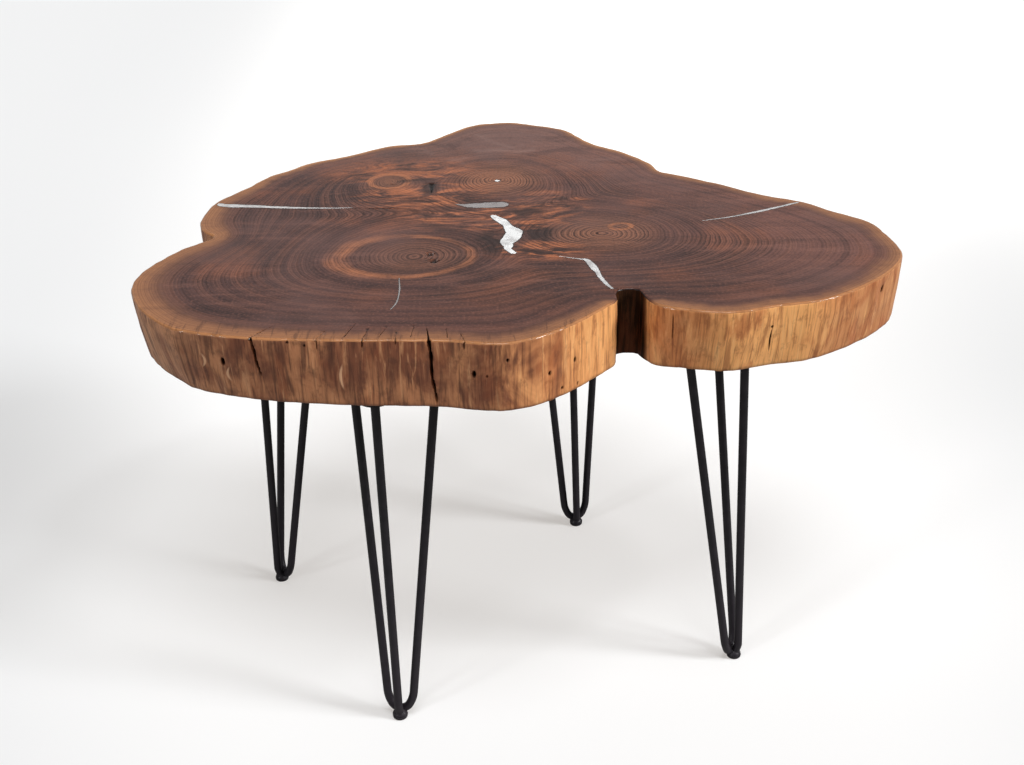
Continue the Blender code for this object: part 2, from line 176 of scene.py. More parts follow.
# Resin fills as ribbons: x, y and width in metres
RESIN = {
    "resin_left_crack": ((-0.3690, 0.0412, 0.0070), (-0.3637, 0.0368, 0.0110), (-0.3540, 0.0342, 0.0130),
                         (-0.3440, 0.0326, 0.0132), (-0.3287, 0.0313, 0.0120), (-0.3100, 0.0282, 0.0096),
                         (-0.2922, 0.0254, 0.0078), (-0.2548, 0.0218, 0.0050), (-0.2191, 0.0204, 0.0026),
                         (-0.2042, 0.0211, 0.0010)),
    "resin_centre_pool": ((-0.0800, 0.0285, 0.0010), (-0.0720, 0.0250, 0.0060), (-0.0631, 0.0228, 0.0120),
                          (-0.0500, 0.0226, 0.0160), (-0.0382, 0.0236, 0.0176), (-0.0240, 0.0246, 0.0176),
                          (-0.0160, 0.0250, 0.0120)),
    "resin_centre_river": ((-0.0357, -0.0116, 0.0064), (-0.0300, -0.0220, 0.0100), (-0.0232, -0.0334, 0.0124),
                           (-0.0185, -0.0440, 0.0096), (-0.0160, -0.0531, 0.0118), (-0.0100, -0.0654, 0.0194),
                           (-0.0110, -0.0750, 0.0180), (-0.0125, -0.0843, 0.0204), (-0.0170, -0.0950, 0.0190),
                           (-0.0183, -0.1032, 0.0134), (-0.0170, -0.1110, 0.0100), (-0.0174, -0.1192, 0.0074),
                           (-0.0100, -0.1345, 0.0064)),
    "resin_notch_crack": ((0.0390, -0.1439, 0.0008), (0.0531, -0.1498, 0.0014), (0.0620, -0.1530, 0.0024),
                          (0.0689, -0.1570, 0.0066), (0.0755, -0.1788, 0.0094), (0.0780, -0.1880, 0.0070),
                          (0.0797, -0.2007, 0.0054), (0.0855, -0.2225, 0.0044), (0.0915, -0.2365, 0.0034)),
    "resin_right_crack": ((0.2092, -0.0400, 0.0010), (0.2440, -0.0284, 0.0032), (0.2747, -0.0138, 0.0056),
                          (0.3021, 0.0007, 0.0056), (0.3204, 0.0116, 0.0044), (0.3320, 0.0182, 0.0034)),
    "resin_front_check": ((-0.1336, -0.1999, 0.0018), (-0.1311, -0.2319, 0.0025), (-0.1320, -0.2632, 0.0025),
                          (-0.1369, -0.2813, 0.0018)),
    "resin_pith_plug": ((-0.0330, 0.1127, 0.0050), (-0.0299, 0.1127, 0.0062), (-0.0268, 0.1127, 0.0050)),
}
RESIN_GREY = {"resin_centre_pool": 0.8, "resin_left_crack": 0.40, "resin_right_crack": 0.45,
              "resin_front_check": 0.75, "resin_notch_crack": 0.25}
RESIN_SLIM = {"resin_left_crack": 0.75, "resin_right_crack": 0.75, "resin_front_check": 0.5,
              "resin_notch_crack": 0.85}
RESIN_DEPTH = 0.004
RESIN_BORDER = 0.0012


# Arrays and meshes

def node_points(name):
    """Distinct vertices of a CAD node, in metres."""
    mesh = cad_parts[name].data
    points = np.empty(len(mesh.vertices) * 3)
    mesh.vertices.foreach_get("co", points)
    return np.unique(points.reshape(-1, 3).round(6), axis=0)


def ring_noise(turn, least, most, seed, waves=28):
    """Noise on a closed ring, near -1..1: a sum of sines with whole numbers of waves and seeded phases."""
    draw = np.random.default_rng(seed)
    cycles = draw.integers(least, most, waves)
    phase = draw.uniform(0, 2 * math.pi, waves)
    return np.sin(2 * math.pi * np.asarray(turn)[..., None] * cycles + phase).sum(-1) / math.sqrt(waves)


def rise(values, start, end):
    """Smooth step from 0 to 1 while the values go from start to end."""
    share = np.clip((np.asarray(values) - start) / (end - start), 0, 1)
    return share * share * (3 - 2 * share)


def along_path(points, count):
    """Points at even steps of a smooth curve: cubic Hermite spans with central-difference slopes."""
    points = np.asarray(points, float)
    slopes = np.gradient(points, axis=0)
    place = np.linspace(0, len(points) - 1, count)
    start = np.minimum(place.astype(int), len(points) - 2)
    t = (place - start)[:, None]
    a, b = points[start], points[start + 1]
    return (a * (1 + 2 * t) * (1 - t) ** 2 + slopes[start] * t * (1 - t) ** 2
            + b * t ** 2 * (3 - 2 * t) + slopes[start + 1] * t ** 2 * (t - 1))


def closed_curve(points, steps):
    """Closed curve through the given points: Catmull-Rom spans of the given number of steps."""
    t = np.arange(steps)[None, :, None] / steps
    p0, p1, p2, p3 = (np.roll(points, shift, axis=0)[:, None] for shift in (1, 0, -1, -2))
    curve = 0.5 * (2 * p1 + (p2 - p0) * t + (2 * p0 - 5 * p1 + 4 * p2 - p3) * t ** 2
                   + (3 * p1 - p0 - 3 * p2 + p3) * t ** 3)
    return curve.reshape(-1, points.shape[1])


def skin_faces(rows, columns):
    """Quads of a grid whose columns close into a ring, and a fan at each end round an added pole."""
    index = np.arange(rows * columns).reshape(rows, columns)
    after = np.roll(index, -1, axis=1)
    quads = np.stack((index[:-1], after[:-1], after[1:], index[1:]), -1).reshape(-1, 4)
    first = np.stack((after[0], index[0], np.full(columns, rows * columns)), -1)
    last = np.stack((index[-1], after[-1], np.full(columns, rows * columns + 1)), -1)
    return quads, first, last


def add_mesh(name, points, faces, materials, sharp):
    """Object of points and faces, smooth but for edges sharper than an angle in degrees."""
    mesh = bpy.data.meshes.new(name)
    mesh.from_pydata(points.tolist(), [], faces)
    for material in materials:
        mesh.materials.append(material)
    mesh.shade_smooth()
    mesh.set_sharp_from_angle(angle=math.radians(sharp))
    piece = bpy.data.objects.new(name, mesh)
    bpy.context.scene.collection.objects.link(piece)
    return piece


def add_skin(name, points, material):
    """Closed mesh over a (rows, columns, 3) grid, each end drawn together at its middle."""
    quads, first, last = skin_faces(*points.shape[:2])
    poles = np.stack((points[0].mean(0), points[-1].mean(0)))
    faces = quads.tolist() + first.tolist() + last.tolist()
    return add_mesh(name, np.concatenate((points.reshape(-1, 3), poles)), faces, (material,), 40.0)


def settle(piece, slot, *nodes):
    """Ride on the table and stand for CAD nodes; the slot is not used."""
    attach(piece, "root")
    if nodes:
        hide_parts(*nodes)
    return piece


def store(piece, name, values):
    """Keep one value per vertex under an attribute's name."""
    values = np.asarray(values, np.float32).ravel()
    piece.data.attributes.new(name, "FLOAT", "POINT").data.foreach_set("value", values)


def store_places(piece, name, places):
    """Keep one place per vertex under an attribute's name."""
    values = np.asarray(places, np.float32).ravel()
    piece.data.attributes.new(name, "FLOAT_VECTOR", "POINT").data.foreach_set("vector", values)


def tube(path, radius, sides):
    """Round tube: at each point of a planar path, a circle in the plane square to the path.

    The circle's first axis is the normal of the path's plane, so the tube doesn't twist.
    """
    along = np.gradient(path, axis=0)
    along /= np.linalg.norm(along, axis=1, keepdims=True)
    normal = np.linalg.svd(path - path.mean(0))[2][2]
    other = np.cross(along, normal)
    turn = np.linspace(0, 2 * math.pi, sides, endpoint=False)
    radius = np.broadcast_to(radius, len(path))[:, None, None]
    return path[:, None] + radius * (np.cos(turn)[None, :, None] * normal
                                     + np.sin(turn)[None, :, None] * other[:, None])


def turned(profile, centre, sides):
    """Surface of revolution about a vertical axis: (radius, height) pairs swept round a centre."""
    profile = np.asarray(profile, float)
    turn = np.linspace(0, 2 * math.pi, sides, endpoint=False)
    ring = np.stack((np.cos(turn), np.sin(turn)), -1)
    plan = np.asarray(centre)[:2] + profile[:, 0, None, None] * ring
    height = np.broadcast_to(profile[:, 1, None, None], (len(profile), sides, 1))
    return np.concatenate((plan, height), -1)


# Node helpers

def new_material(name):
    material = bpy.data.materials.new(name)
    material.use_nodes = True
    return material, material.node_tree, material.node_tree.nodes["Principled BSDF"]


def join(tree, value, socket):
    """Link a socket to another, or set it to a plain value."""
    if isinstance(value, bpy.types.NodeSocket):
        tree.links.new(value, socket)
    else:
        socket.default_value = value


def put(tree, kind, inputs=None, **settings):
    """Add a node, set its properties, and set or link its inputs."""
    node = tree.nodes.new(kind)
    for key, value in settings.items():
        setattr(node, key, value)
    for key, value in (inputs or {}).items():
        join(tree, value, node.inputs[key])
    return node


def calc(tree, operation, *values):
    return put(tree, "ShaderNodeMath", dict(enumerate(values)), operation=operation).outputs[0]


def product(tree, *values):
    """Values multiplied one after another."""
    found = values[0]
    for value in values[1:]:
        found = calc(tree, "MULTIPLY", found, value)
    return found


def vector(tree, operation, *values):
    node = put(tree, "ShaderNodeVectorMath", dict(enumerate(values)), operation=operation)
    return node.outputs["Value" if operation in ("LENGTH", "DISTANCE") else "Vector"]


def scaled(tree, coordinates, factor):
    node = put(tree, "ShaderNodeVectorMath", {0: coordinates, "Scale": factor}, operation="SCALE")
    return node.outputs["Vector"]


def ease(tree, value, start, end, low=0.0, high=1.0):
    """Smooth step from low to high while a value goes from start to end."""
    inputs = {"Value": value, "From Min": start, "From Max": end, "To Min": low, "To Max": high}
    return put(tree, "ShaderNodeMapRange", inputs, interpolation_type="SMOOTHSTEP").outputs[0]


def noise(tree, coordinates, scale, detail=3.0, rough=0.55, distortion=0.0, output="Fac"):
    inputs = {"Vector": coordinates, "Scale": scale, "Detail": detail, "Roughness": rough,
              "Distortion": distortion}
    return put(tree, "ShaderNodeTexNoise", inputs).outputs[output]


def line_noise(tree, value, scale, detail=2.0):
    inputs = {"W": value, "Scale": scale, "Detail": detail}
    return put(tree, "ShaderNodeTexNoise", inputs, noise_dimensions="1D").outputs["Fac"]


def mix(tree, share, first, second):
    node = put(tree, "ShaderNodeMix", data_type="RGBA")
    for socket, value in zip((node.inputs[0], node.inputs[6], node.inputs[7]), (share, first, second)):
        join(tree, value, socket)
    return node.outputs[2]


def paint(red, green, blue):
    """Screen colour, 0 to 255, as a linear colour for a socket."""
    srgb = np.array((red, green, blue)) / 255
    linear = np.where(srgb <= 0.04045, srgb / 12.92, ((srgb + 0.055) / 1.055) ** 2.4)
    return (*linear.tolist(), 1.0)


def tint(tree, colour, share, *screen):
    """A screen colour laid over another colour by a share."""
    return mix(tree, share, colour, paint(*screen))


def bump(tree, height, strength, distance):
    inputs = {"Height": height, "Strength": strength, "Distance": distance}
    return put(tree, "ShaderNodeBump", inputs).outputs["Normal"]


def object_place(tree):
    return put(tree, "ShaderNodeTexCoord").outputs["Object"]


def xyz(tree, place):
    """X, Y and Z of a place."""
    return tuple(put(tree, "ShaderNodeSeparateXYZ", {0: place}).outputs)


def stored(tree, name):
    return put(tree, "ShaderNodeAttribute", attribute_name=name).outputs["Fac"]


def stored_place(tree, name):
    return put(tree, "ShaderNodeAttribute", attribute_name=name).outputs["Vector"]


def new_group(name, inputs, outputs):
    """Empty node group with named sockets, given as (name, kind) pairs."""
    group = bpy.data.node_groups.new(name, "ShaderNodeTree")
    for label, kind in inputs:
        group.interface.new_socket(label, in_out="INPUT", socket_type=f"NodeSocket{kind}")
    for label, kind in outputs:
        group.interface.new_socket(label, in_out="OUTPUT", socket_type=f"NodeSocket{kind}")
    return group, group.nodes.new("NodeGroupInput"), group.nodes.new("NodeGroupOutput")


def use(tree, group, **inputs):
    """Add a group's node, with its inputs named in lower case with underscores."""
    node = put(tree, "ShaderNodeGroup", node_tree=group)
    for label, value in inputs.items():
        join(tree, value, node.inputs[label.replace("_", " ").title()])
    return node


# Shared effects

def from_middle(tree, place, x, y, across, deep):
    """Offset of a place from an ellipse's middle, in its radii."""
    return vector(tree, "DIVIDE", vector(tree, "SUBTRACT", place, (x, y, 0.0)), (across, deep, 1.0))


def patches(tree, place, ellipses):
    """Mask of soft ellipses, each given by its middle and radii."""
    found = None
    for x, y, across, deep in ellipses:
        away = vector(tree, "LENGTH", from_middle(tree, place, x, y, across, deep))
        part = ease(tree, away, 0.35, 1.0, 1.0, 0.0)
        found = part if found is None else calc(tree, "MAXIMUM", found, part)
    return found


def growth_rings():
    """Rings that wrap each pith, then the whole stem, and last run along the rim.

    The ring age is d / (d + r): d is the smooth minimum of the distances to the piths, and r the
    distance to the rim. A power of it times the ring count gives a saw, whose late part is the dark line.
    """
    group, given, result = new_group(
        "growth_rings", (("Place", "Vector"), ("Rim", "Float")),
        (("Line", "Float"), ("Tone", "Float"), ("Heart", "Float"), ("Eye", "Float"), ("Flame", "Float"),
         ("Scorch", "Float")))
    flat = vector(group, "MULTIPLY", given.outputs["Place"], (1.0, 1.0, 0.0))
    moved = flat
    for scale, throw in ((6.0, 0.022), (30.0, 0.0068), (110.0, 0.0018)):
        sway = vector(group, "SUBTRACT", noise(group, flat, scale, 2.0, output="Color"), (0.5, 0.5, 0.5))
        moved = vector(group, "ADD", moved, scaled(group, sway, throw))
    reach = heart = None
    for x, y, across, deep, start, light in PITHS:
        from_pith = vector(group, "SUBTRACT", moved, (x, y, 0.0))
        from_pith = vector(group, "MULTIPLY", from_pith, (across, deep, 0.0))
        away = calc(group, "ADD", vector(group, "LENGTH", from_pith), start)
        shine = ease(group, away, 0.022, 0.080, light, 0.0)
        reach = away if reach is None else calc(group, "SMOOTH_MIN", reach, away, 0.040)
        heart = shine if heart is None else calc(group, "MAXIMUM", heart, shine)
    reach = calc(group, "MAXIMUM", reach, 0.0005)
    rim = calc(group, "MAXIMUM", given.outputs["Rim"], 0.0)
    age = calc(group, "DIVIDE", reach, calc(group, "ADD", reach, rim))
    ring = product(group, calc(group, "POWER", age, RING_CROWDING), RING_COUNT)
    ring = calc(group, "ADD", ring, product(group, line_noise(group, ring, 0.45), 1.3))
    saw = calc(group, "FRACT", ring)
    late = product(group, ease(group, saw, 0.38, 0.82), ease(group, saw, 0.90, 1.0, 1.0, 0.0))
    fine = calc(group, "FRACT", product(group, ring, 2.37))
    fine = product(group, ease(group, fine, 0.35, 0.75), ease(group, fine, 0.85, 1.0, 0.55, 0.0))
    weight = ease(group, line_noise(group, ring, 0.8), 0.30, 0.70, 0.70, 1.0)
    line = calc(group, "MAXIMUM", product(group, late, weight), fine)
    tone = line_noise(group, ring, 0.24, 3.0)

    # Bright ring round the front pith
    from_eye = from_middle(group, moved, *EYE_PLACE, *EYE_RADII)
    across = xyz(group, from_eye)[0]
    eye = calc(group, "ABSOLUTE", calc(group, "SUBTRACT", vector(group, "LENGTH", from_eye), 1.0))
    width = ease(group, across, -1.0, 0.5, 0.26, 0.12)
    eye = ease(group, calc(group, "DIVIDE", eye, width), 0.1, 1.0, 1.0, 0.0)
    patchy = ease(group, noise(group, flat, 22.0, 3.0), 0.34, 0.60, 0.25, 1.0)
    eye = product(group, eye, patchy, ease(group, across, -0.6, 0.9, 1.0, 0.6))
    for x, y, wide, deep, width in KNOTS:
        from_knot = vector(group, "LENGTH", from_middle(group, moved, x, y, wide, deep))
        knot = calc(group, "ABSOLUTE", calc(group, "SUBTRACT", from_knot, 1.0))
        eye = calc(group, "MAXIMUM", eye, ease(group, knot, width * 0.3, width, 1.0, 0.0))

    # Flame figure and dark streaks between the piths
    streak = put(group, "ShaderNodeMapping",
                 {"Vector": moved, "Rotation": (0.0, 0.0, 0.10), "Scale": (13.0, 29.0, 1.0)})
    lick = noise(group, streak.outputs[0], 1.0, 8.0, 0.64, 2.2)
    zone = patches(group, flat, FLAMES)
    clear = ease(group, away, 0.040, 0.056)
    flame = product(group, ease(group, lick, 0.46, 0.61, 0.14, 1.0), zone, clear)
    scorch = product(group, ease(group, lick, 0.47, 0.38), zone)
    stain = product(group, patches(group, moved, STAINS), ease(group, lick, 0.62, 0.50))
    scorch = calc(group, "MAXIMUM", scorch, stain)
    for value, socket in zip((line, tone, heart, eye, flame, scorch), result.inputs):
        group.links.new(value, socket)
    return group


def long_grain():
    """Streaks along Z: noise that is many times finer across the trunk than along it."""
    group, given, result = new_group(
        "long_grain", (("Place", "Vector"),), (("Broad", "Float"), ("Fine", "Float"), ("Fibre", "Float")))
    place = given.outputs["Place"]
    layers = (("Broad", (24.0, 24.0, 13.0), 4.0, 0.8), ("Fine", (150.0, 150.0, 16.0), 5.0, 0.7),
              ("Fibre", (620.0, 620.0, 26.0), 3.0, 0.3))
    for label, stretch, detail, distortion in layers:
        streak = noise(group, vector(group, "MULTIPLY", place, stretch), 1.0, detail, 0.6, distortion)
        group.links.new(streak, result.inputs[label])
    return group


def surface_mottle():
    """Cloudy tone and a fine pebble height, for coatings, mouldings and cast fills."""
    group, given, result = new_group(
        "surface_mottle", (("Place", "Vector"), ("Cloud Scale", "Float"), ("Pebble Scale", "Float")),
        (("Cloud", "Float"), ("Pebble", "Float")))
    for label, detail in (("Cloud", 4.0), ("Pebble", 1.0)):
        layer = noise(group, given.outputs["Place"], given.outputs[f"{label} Scale"], detail)
        group.links.new(layer, result.inputs[label])
    return group


# Materials

def face_finish(rings):
    """Polished end grain: dark heartwood with rings and flame, golden sapwood, under satin lacquer, with
    painted light toward the right and back, painted sheen and reflections, a painted rim highlight, and
    painted shade in the marks.
    """
    material, tree, shader = new_material("polished_end_grain")
    place = object_place(tree)
    rim = stored(tree, "growth")
    wood = use(tree, rings, place=place, rim=rim)
    line, tone, heart, eye, flame, scorch = wood.outputs
    cloud = noise(tree, place, 8.0, 4.0)
    x, y = xyz(tree, place)[:2]
    early = mix(tree, ease(tree, cloud, 0.36, 0.64), paint(64, 40, 38), paint(90, 58, 53))
    # Painted light: the top is lighter toward the right and the back, where the light falls.
    painted_light_slope = calc(tree, "MULTIPLY_ADD", y, 0.6, x)
    early = tint(tree, early, ease(tree, painted_light_slope, -0.04, 0.30, 0.0, 0.68), 140, 92, 80)
    early = tint(tree, early, ease(tree, tone, 0.44, 0.64, 0.0, 0.46), 136, 88, 71)
    early = tint(tree, early, ease(tree, tone, 0.46, 0.30, 0.0, 0.40), 58, 35, 31)
    warm = product(tree, ease(tree, noise(tree, place, 9.0, 4.0), 0.48, 0.66),
                   ease(tree, tone, 0.34, 0.56, 0.5, 1.0), ease(tree, y, -0.32, -0.16, 0.12, 0.50))
    early = tint(tree, early, warm, 158, 92, 60)
    # Painted sheen: a pale grey tint toward the back of the top.
    early = tint(tree, early, ease(tree, y, 0.10, 0.32, 0.0, 0.50), 156, 116, 104)
    early = tint(tree, early, heart, 178, 116, 84)
    early = tint(tree, early, product(tree, eye, 0.85), 192, 120, 80)
    early = tint(tree, early, product(tree, flame, 0.9), 206, 122, 78)
    late = mix(tree, ease(tree, cloud, 0.36, 0.64), paint(38, 22, 19), paint(54, 32, 27))
    patchy = ease(tree, noise(tree, place, 15.0, 4.0, 0.6), 0.36, 0.62, 0.45, 1.0)
    calm = product(tree, ease(tree, y, -0.28, -0.16, 0.40, 1.0), ease(tree, x, 0.22, 0.34, 1.0, 0.45),
                   ease(tree, y, 0.10, 0.24, 1.0, 0.5))
    patchy = product(tree, patchy, calm)
    patchy = calc(tree, "MAXIMUM", patchy, ease(tree, heart, 0.0, 0.4, 0.0, 0.9))
    colour = mix(tree, product(tree, line, patchy), early, late)
    colour = mix(tree, ease(tree, calm, 0.0, 1.0, 0.20, 0.02), colour, late)
    colour = tint(tree, colour, product(tree, eye, 0.35), 192, 120, 80)
    brushed = noise(tree, vector(tree, "MULTIPLY", place, (11.0, 58.0, 1.0)), 1.0, 4.0, 0.6, 0.6)
    colour = tint(tree, colour, ease(tree, brushed, 0.50, 0.70, 0.0, 0.36), 52, 32, 28)
    colour = tint(tree, colour, ease(tree, brushed, 0.47, 0.31, 0.0, 0.20), 158, 108, 92)
    specks = noise(tree, place, 330.0, 3.0, 0.6)
    colour = tint(tree, colour, ease(tree, specks, 0.50, 0.70, 0.0, 0.40), 44, 27, 23)
    colour = tint(tree, colour, ease(tree, specks, 0.48, 0.30, 0.0, 0.35), 150, 101, 83)
    colour = tint(tree, colour, product(tree, scorch, 0.75), 34, 20, 18)
    # Painted reflection: cloudy grey patches standing for reflections in the lacquer.
    reflection_haze = ease(tree, noise(tree, place, 6.0, 4.0), 0.48, 0.68, 0.0, 0.40)
    colour = tint(tree, colour, reflection_haze, 112, 82, 76)
    # Toward the back: darker blotches of the wood's tone, and pale grey blotches which are painted sheen.
    blotch = noise(tree, place, 13.0, 4.0, 0.6, 0.8)
    rear = ease(tree, y, 0.12, 0.26)
    dull = product(tree, ease(tree, blotch, 0.47, 0.36, 0.0, 0.55), rear)
    pale = product(tree, ease(tree, blotch, 0.52, 0.66, 0.0, 0.26), rear)
    colour = tint(tree, colour, dull, 74, 48, 44)
    colour = tint(tree, colour, pale, 168, 134, 124)
    slow, quick = noise(tree, place, 14.0, 3.0), noise(tree, place, 75.0, 4.0, 0.65)
    sway = calc(tree, "ADD", product(tree, slow, 0.018), product(tree, quick, 0.016))
    sway = calc(tree, "SUBTRACT", sway, 0.0165)
    thin = product(tree, ease(tree, x, -0.38, -0.24, 0.44, 0.82), ease(tree, x, 0.24, 0.38, 1.0, 0.82),
                   ease(tree, y, -0.34, -0.24, 0.72, 1.0), ease(tree, y, 0.0, 0.25, 1.0, 1.3))
    depth = product(tree, calc(tree, "ADD", rim, sway), thin)
    gold = mix(tree, ease(tree, depth, 0.0, SAPWOOD * 0.8), paint(172, 117, 78), paint(114, 75, 60))
    ticks = noise(tree, vector(tree, "MULTIPLY", place, (260.0, 26.0, 1.0)), 1.0, 4.0, 0.65, 0.4)
    ticks = product(tree, ease(tree, ticks, 0.52, 0.66), ease(tree, y, -0.32, -0.27, 0.55, 0.0))
    gold = tint(tree, gold, ticks, 70, 43, 34)
    gold = tint(tree, gold, product(tree, line, 0.42), 92, 58, 44)
    gold = tint(tree, gold, ease(tree, brushed, 0.50, 0.70, 0.0, 0.30), 92, 58, 44)
    gold = tint(tree, gold, ease(tree, specks, 0.50, 0.70, 0.0, 0.25), 96, 60, 44)
    # Painted highlight: a thin pale band along the rim, for light caught on the rounded edge, stronger toward
    # the back.
    rim_highlight_band = product(tree, rim, ease(tree, y, 0.0, 0.2, 1.0, 0.4))
    shine = product(tree, ease(tree, rim_highlight_band, 0.0010, 0.0035, 1.0, 0.0), ease(tree, y, 0.0, 0.2, 0.20, 0.50))
    gold = tint(tree, gold, shine, 214, 152, 98)
    colour = mix(tree, ease(tree, depth, SAPWOOD * 0.3, SAPWOOD, 1.0, 0.0), colour, gold)
    # Painted shade in the hollows of the marks, cracks and notch.
    colour = tint(tree, colour, stored(tree, "hollow_shade"), 24, 12, 9)
    tree.links.new(colour, shader.inputs["Base Color"])
    rough = product(tree, ease(tree, line, 0.0, 1.0, 0.30, 0.40),
                    ease(tree, rim, 0.002, 0.004, 0.38, 1.0))
    tree.links.new(rough, shader.inputs["Roughness"])
    pores = noise(tree, place, 900.0, 2.0)
    height = calc(tree, "ADD", product(tree, line, -0.5), product(tree, pores, 0.4))
    tree.links.new(bump(tree, height, 0.10, 0.0006), shader.inputs["Normal"])
    shader.inputs["Specular IOR Level"].default_value = 0.3
    return material


def wall_finish(grain):
    """Debarked live edge: golden sapwood with dark vertical streaks, cracks, pits and a notch, with painted
    light golden toward the right, and painted shade in the hollows, the notch and along the foot.
    """
    material, tree, shader = new_material("debarked_live_edge")
    place = stored_place(tree, "column")
    broad, fine, fibre = use(tree, grain, place=place).outputs
    side, _, above = xyz(tree, place)
    # Painted light, partly the wood's own tone: golden toward the right where the light falls, brown toward
    # the left; the streak colours below have lit and shaded copies too.
    painted_lit_side = calc(tree, "ADD", side, product(tree, calc(tree, "SUBTRACT", broad, 0.5), 0.25))
    painted_lit_side = ease(tree, painted_lit_side, -0.06, 0.06)
    shaded_brown = mix(tree, ease(tree, broad, 0.36, 0.64), paint(122, 72, 48), paint(184, 124, 84))
    lit_golden = mix(tree, ease(tree, broad, 0.36, 0.64), paint(204, 130, 76), paint(226, 160, 102))
    colour = mix(tree, painted_lit_side, shaded_brown, lit_golden)
    colour = tint(tree, colour, ease(tree, side, -0.40, -0.28, 0.50, 0.0), 214, 158, 116)
    # Painted light: paler golden bands where the light falls fullest on the right lobes.
    for middle, reach, share in ((0.250, 0.09, 0.78), (0.075, 0.05, 0.40)):
        away = calc(tree, "ABSOLUTE", calc(tree, "SUBTRACT", side, middle))
        colour = tint(tree, colour, ease(tree, away, reach * 0.3, reach, share, 0.0), 254, 186, 114)
    # Painted shade: darker at the far right end of the wall.
    colour = tint(tree, colour, ease(tree, side, 0.30, 0.38, 0.0, 0.34), 150, 86, 50)
    rust = noise(tree, vector(tree, "MULTIPLY", place, (34.0, 34.0, 20.0)), 1.0, 4.0)
    rust = ease(tree, rust, 0.50, 0.66, 0.0, 0.58)
    colour = mix(tree, rust, colour, mix(tree, painted_lit_side, paint(122, 64, 38), paint(176, 92, 46)))
    shade = mix(tree, painted_lit_side, paint(70, 40, 28), paint(140, 78, 42))
    colour = mix(tree, ease(tree, fine, 0.49, 0.66, 0.0, 0.64), colour, shade)
    pale = mix(tree, painted_lit_side, paint(206, 150, 106), paint(246, 188, 124))
    colour = mix(tree, ease(tree, fine, 0.46, 0.31, 0.0, 0.66), colour, pale)
    thread = mix(tree, painted_lit_side, paint(54, 30, 20), paint(122, 66, 34))
    colour = mix(tree, ease(tree, fibre, 0.53, 0.69, 0.0, 0.48), colour, thread)
    spots = noise(tree, vector(tree, "MULTIPLY", place, (90.0, 90.0, 60.0)), 1.0, 5.0, 0.65)
    colour = mix(tree, ease(tree, spots, 0.52, 0.70, 0.0, 0.50), colour, shade)
    colour = tint(tree, colour, product(tree, stored(tree, "scar"), 0.75), 226, 178, 138)
    # Painted shade: darker along the wall's lowest few millimetres.
    foot = float(SLAB_LOW[2])
    colour = tint(tree, colour, ease(tree, above, foot + 0.001, foot + 0.006, 0.45, 0.0), 64, 34, 20)
    # Painted shade in the cracks, pits and notch: near black, warmer where light reaches in.
    hollow_shade_tone = mix(tree, ease(tree, fine, 0.40, 0.58), paint(66, 28, 15), paint(14, 6, 5))
    colour = mix(tree, stored(tree, "hollow_shade"), colour, hollow_shade_tone)
    tree.links.new(colour, shader.inputs["Base Color"])
    tree.links.new(ease(tree, fine, 0.3, 0.7, 0.42, 0.60), shader.inputs["Roughness"])
    gloss = ease(tree, stored(tree, "hollow_shade"), 0.1, 0.8, 0.35, 0.05)
    tree.links.new(gloss, shader.inputs["Specular IOR Level"])
    height = calc(tree, "ADD", product(tree, fine, 0.7), product(tree, fibre, 0.5))
    tree.links.new(bump(tree, height, 0.45, 0.0012), shader.inputs["Normal"])
    return material


def under_finish(rings):
    """Sawn underside: the same rings, paler and dull, with the saw's fine straight marks."""
    material, tree, shader = new_material("sawn_underside")
    place = object_place(tree)
    rim = stored(tree, "growth")
    wood = use(tree, rings, place=place, rim=rim)
    colour = mix(tree, ease(tree, wood.outputs["Tone"], 0.35, 0.65), paint(96, 62, 44), paint(128, 86, 60))
    colour = tint(tree, colour, product(tree, wood.outputs["Line"], 0.5), 62, 38, 28)
    colour = tint(tree, colour, ease(tree, rim, SAPWOOD * 0.7, SAPWOOD * 1.3, 1.0, 0.0), 168, 118, 74)
    tree.links.new(colour, shader.inputs["Base Color"])
    marks = noise(tree, vector(tree, "MULTIPLY", place, (900.0, 9.0, 1.0)), 1.0, 2.0)
    tree.links.new(ease(tree, marks, 0.3, 0.7, 0.6, 0.8), shader.inputs["Roughness"])
    tree.links.new(bump(tree, marks, 0.3, 0.0006), shader.inputs["Normal"])
    shader.inputs["Specular IOR Level"].default_value = 0.3
    return material


def resin_finish(mottle):
    """Pearl casting resin: white with grey swirls under a polished face, and a dark stained border."""
    material, tree, shader = new_material("pearl_resin")
    place = object_place(tree)
    swirl = use(tree, mottle, place=place, cloud_scale=55.0, pebble_scale=300.0)
    cloud = swirl.outputs["Cloud"]
    colour = mix(tree, ease(tree, cloud, 0.34, 0.54), paint(206, 204, 203), paint(248, 248, 247))
    colour = tint(tree, colour, stored(tree, "grey"), 118, 108, 106)
    ragged = product(tree, calc(tree, "SUBTRACT", noise(tree, place, 300.0, 2.0), 0.5), 0.0010)
    inset = calc(tree, "ADD", stored(tree, "inset"), ragged)
    colour = tint(tree, colour, ease(tree, inset, -0.0004, 0.0004, 1.0, 0.0), 42, 25, 20)
    tree.links.new(colour, shader.inputs["Base Color"])
    tree.links.new(ease(tree, cloud, 0.3, 0.7, 0.16, 0.28), shader.inputs["Roughness"])
    tree.links.new(bump(tree, swirl.outputs["Pebble"], 0.04, 0.0004), shader.inputs["Normal"])
    return material


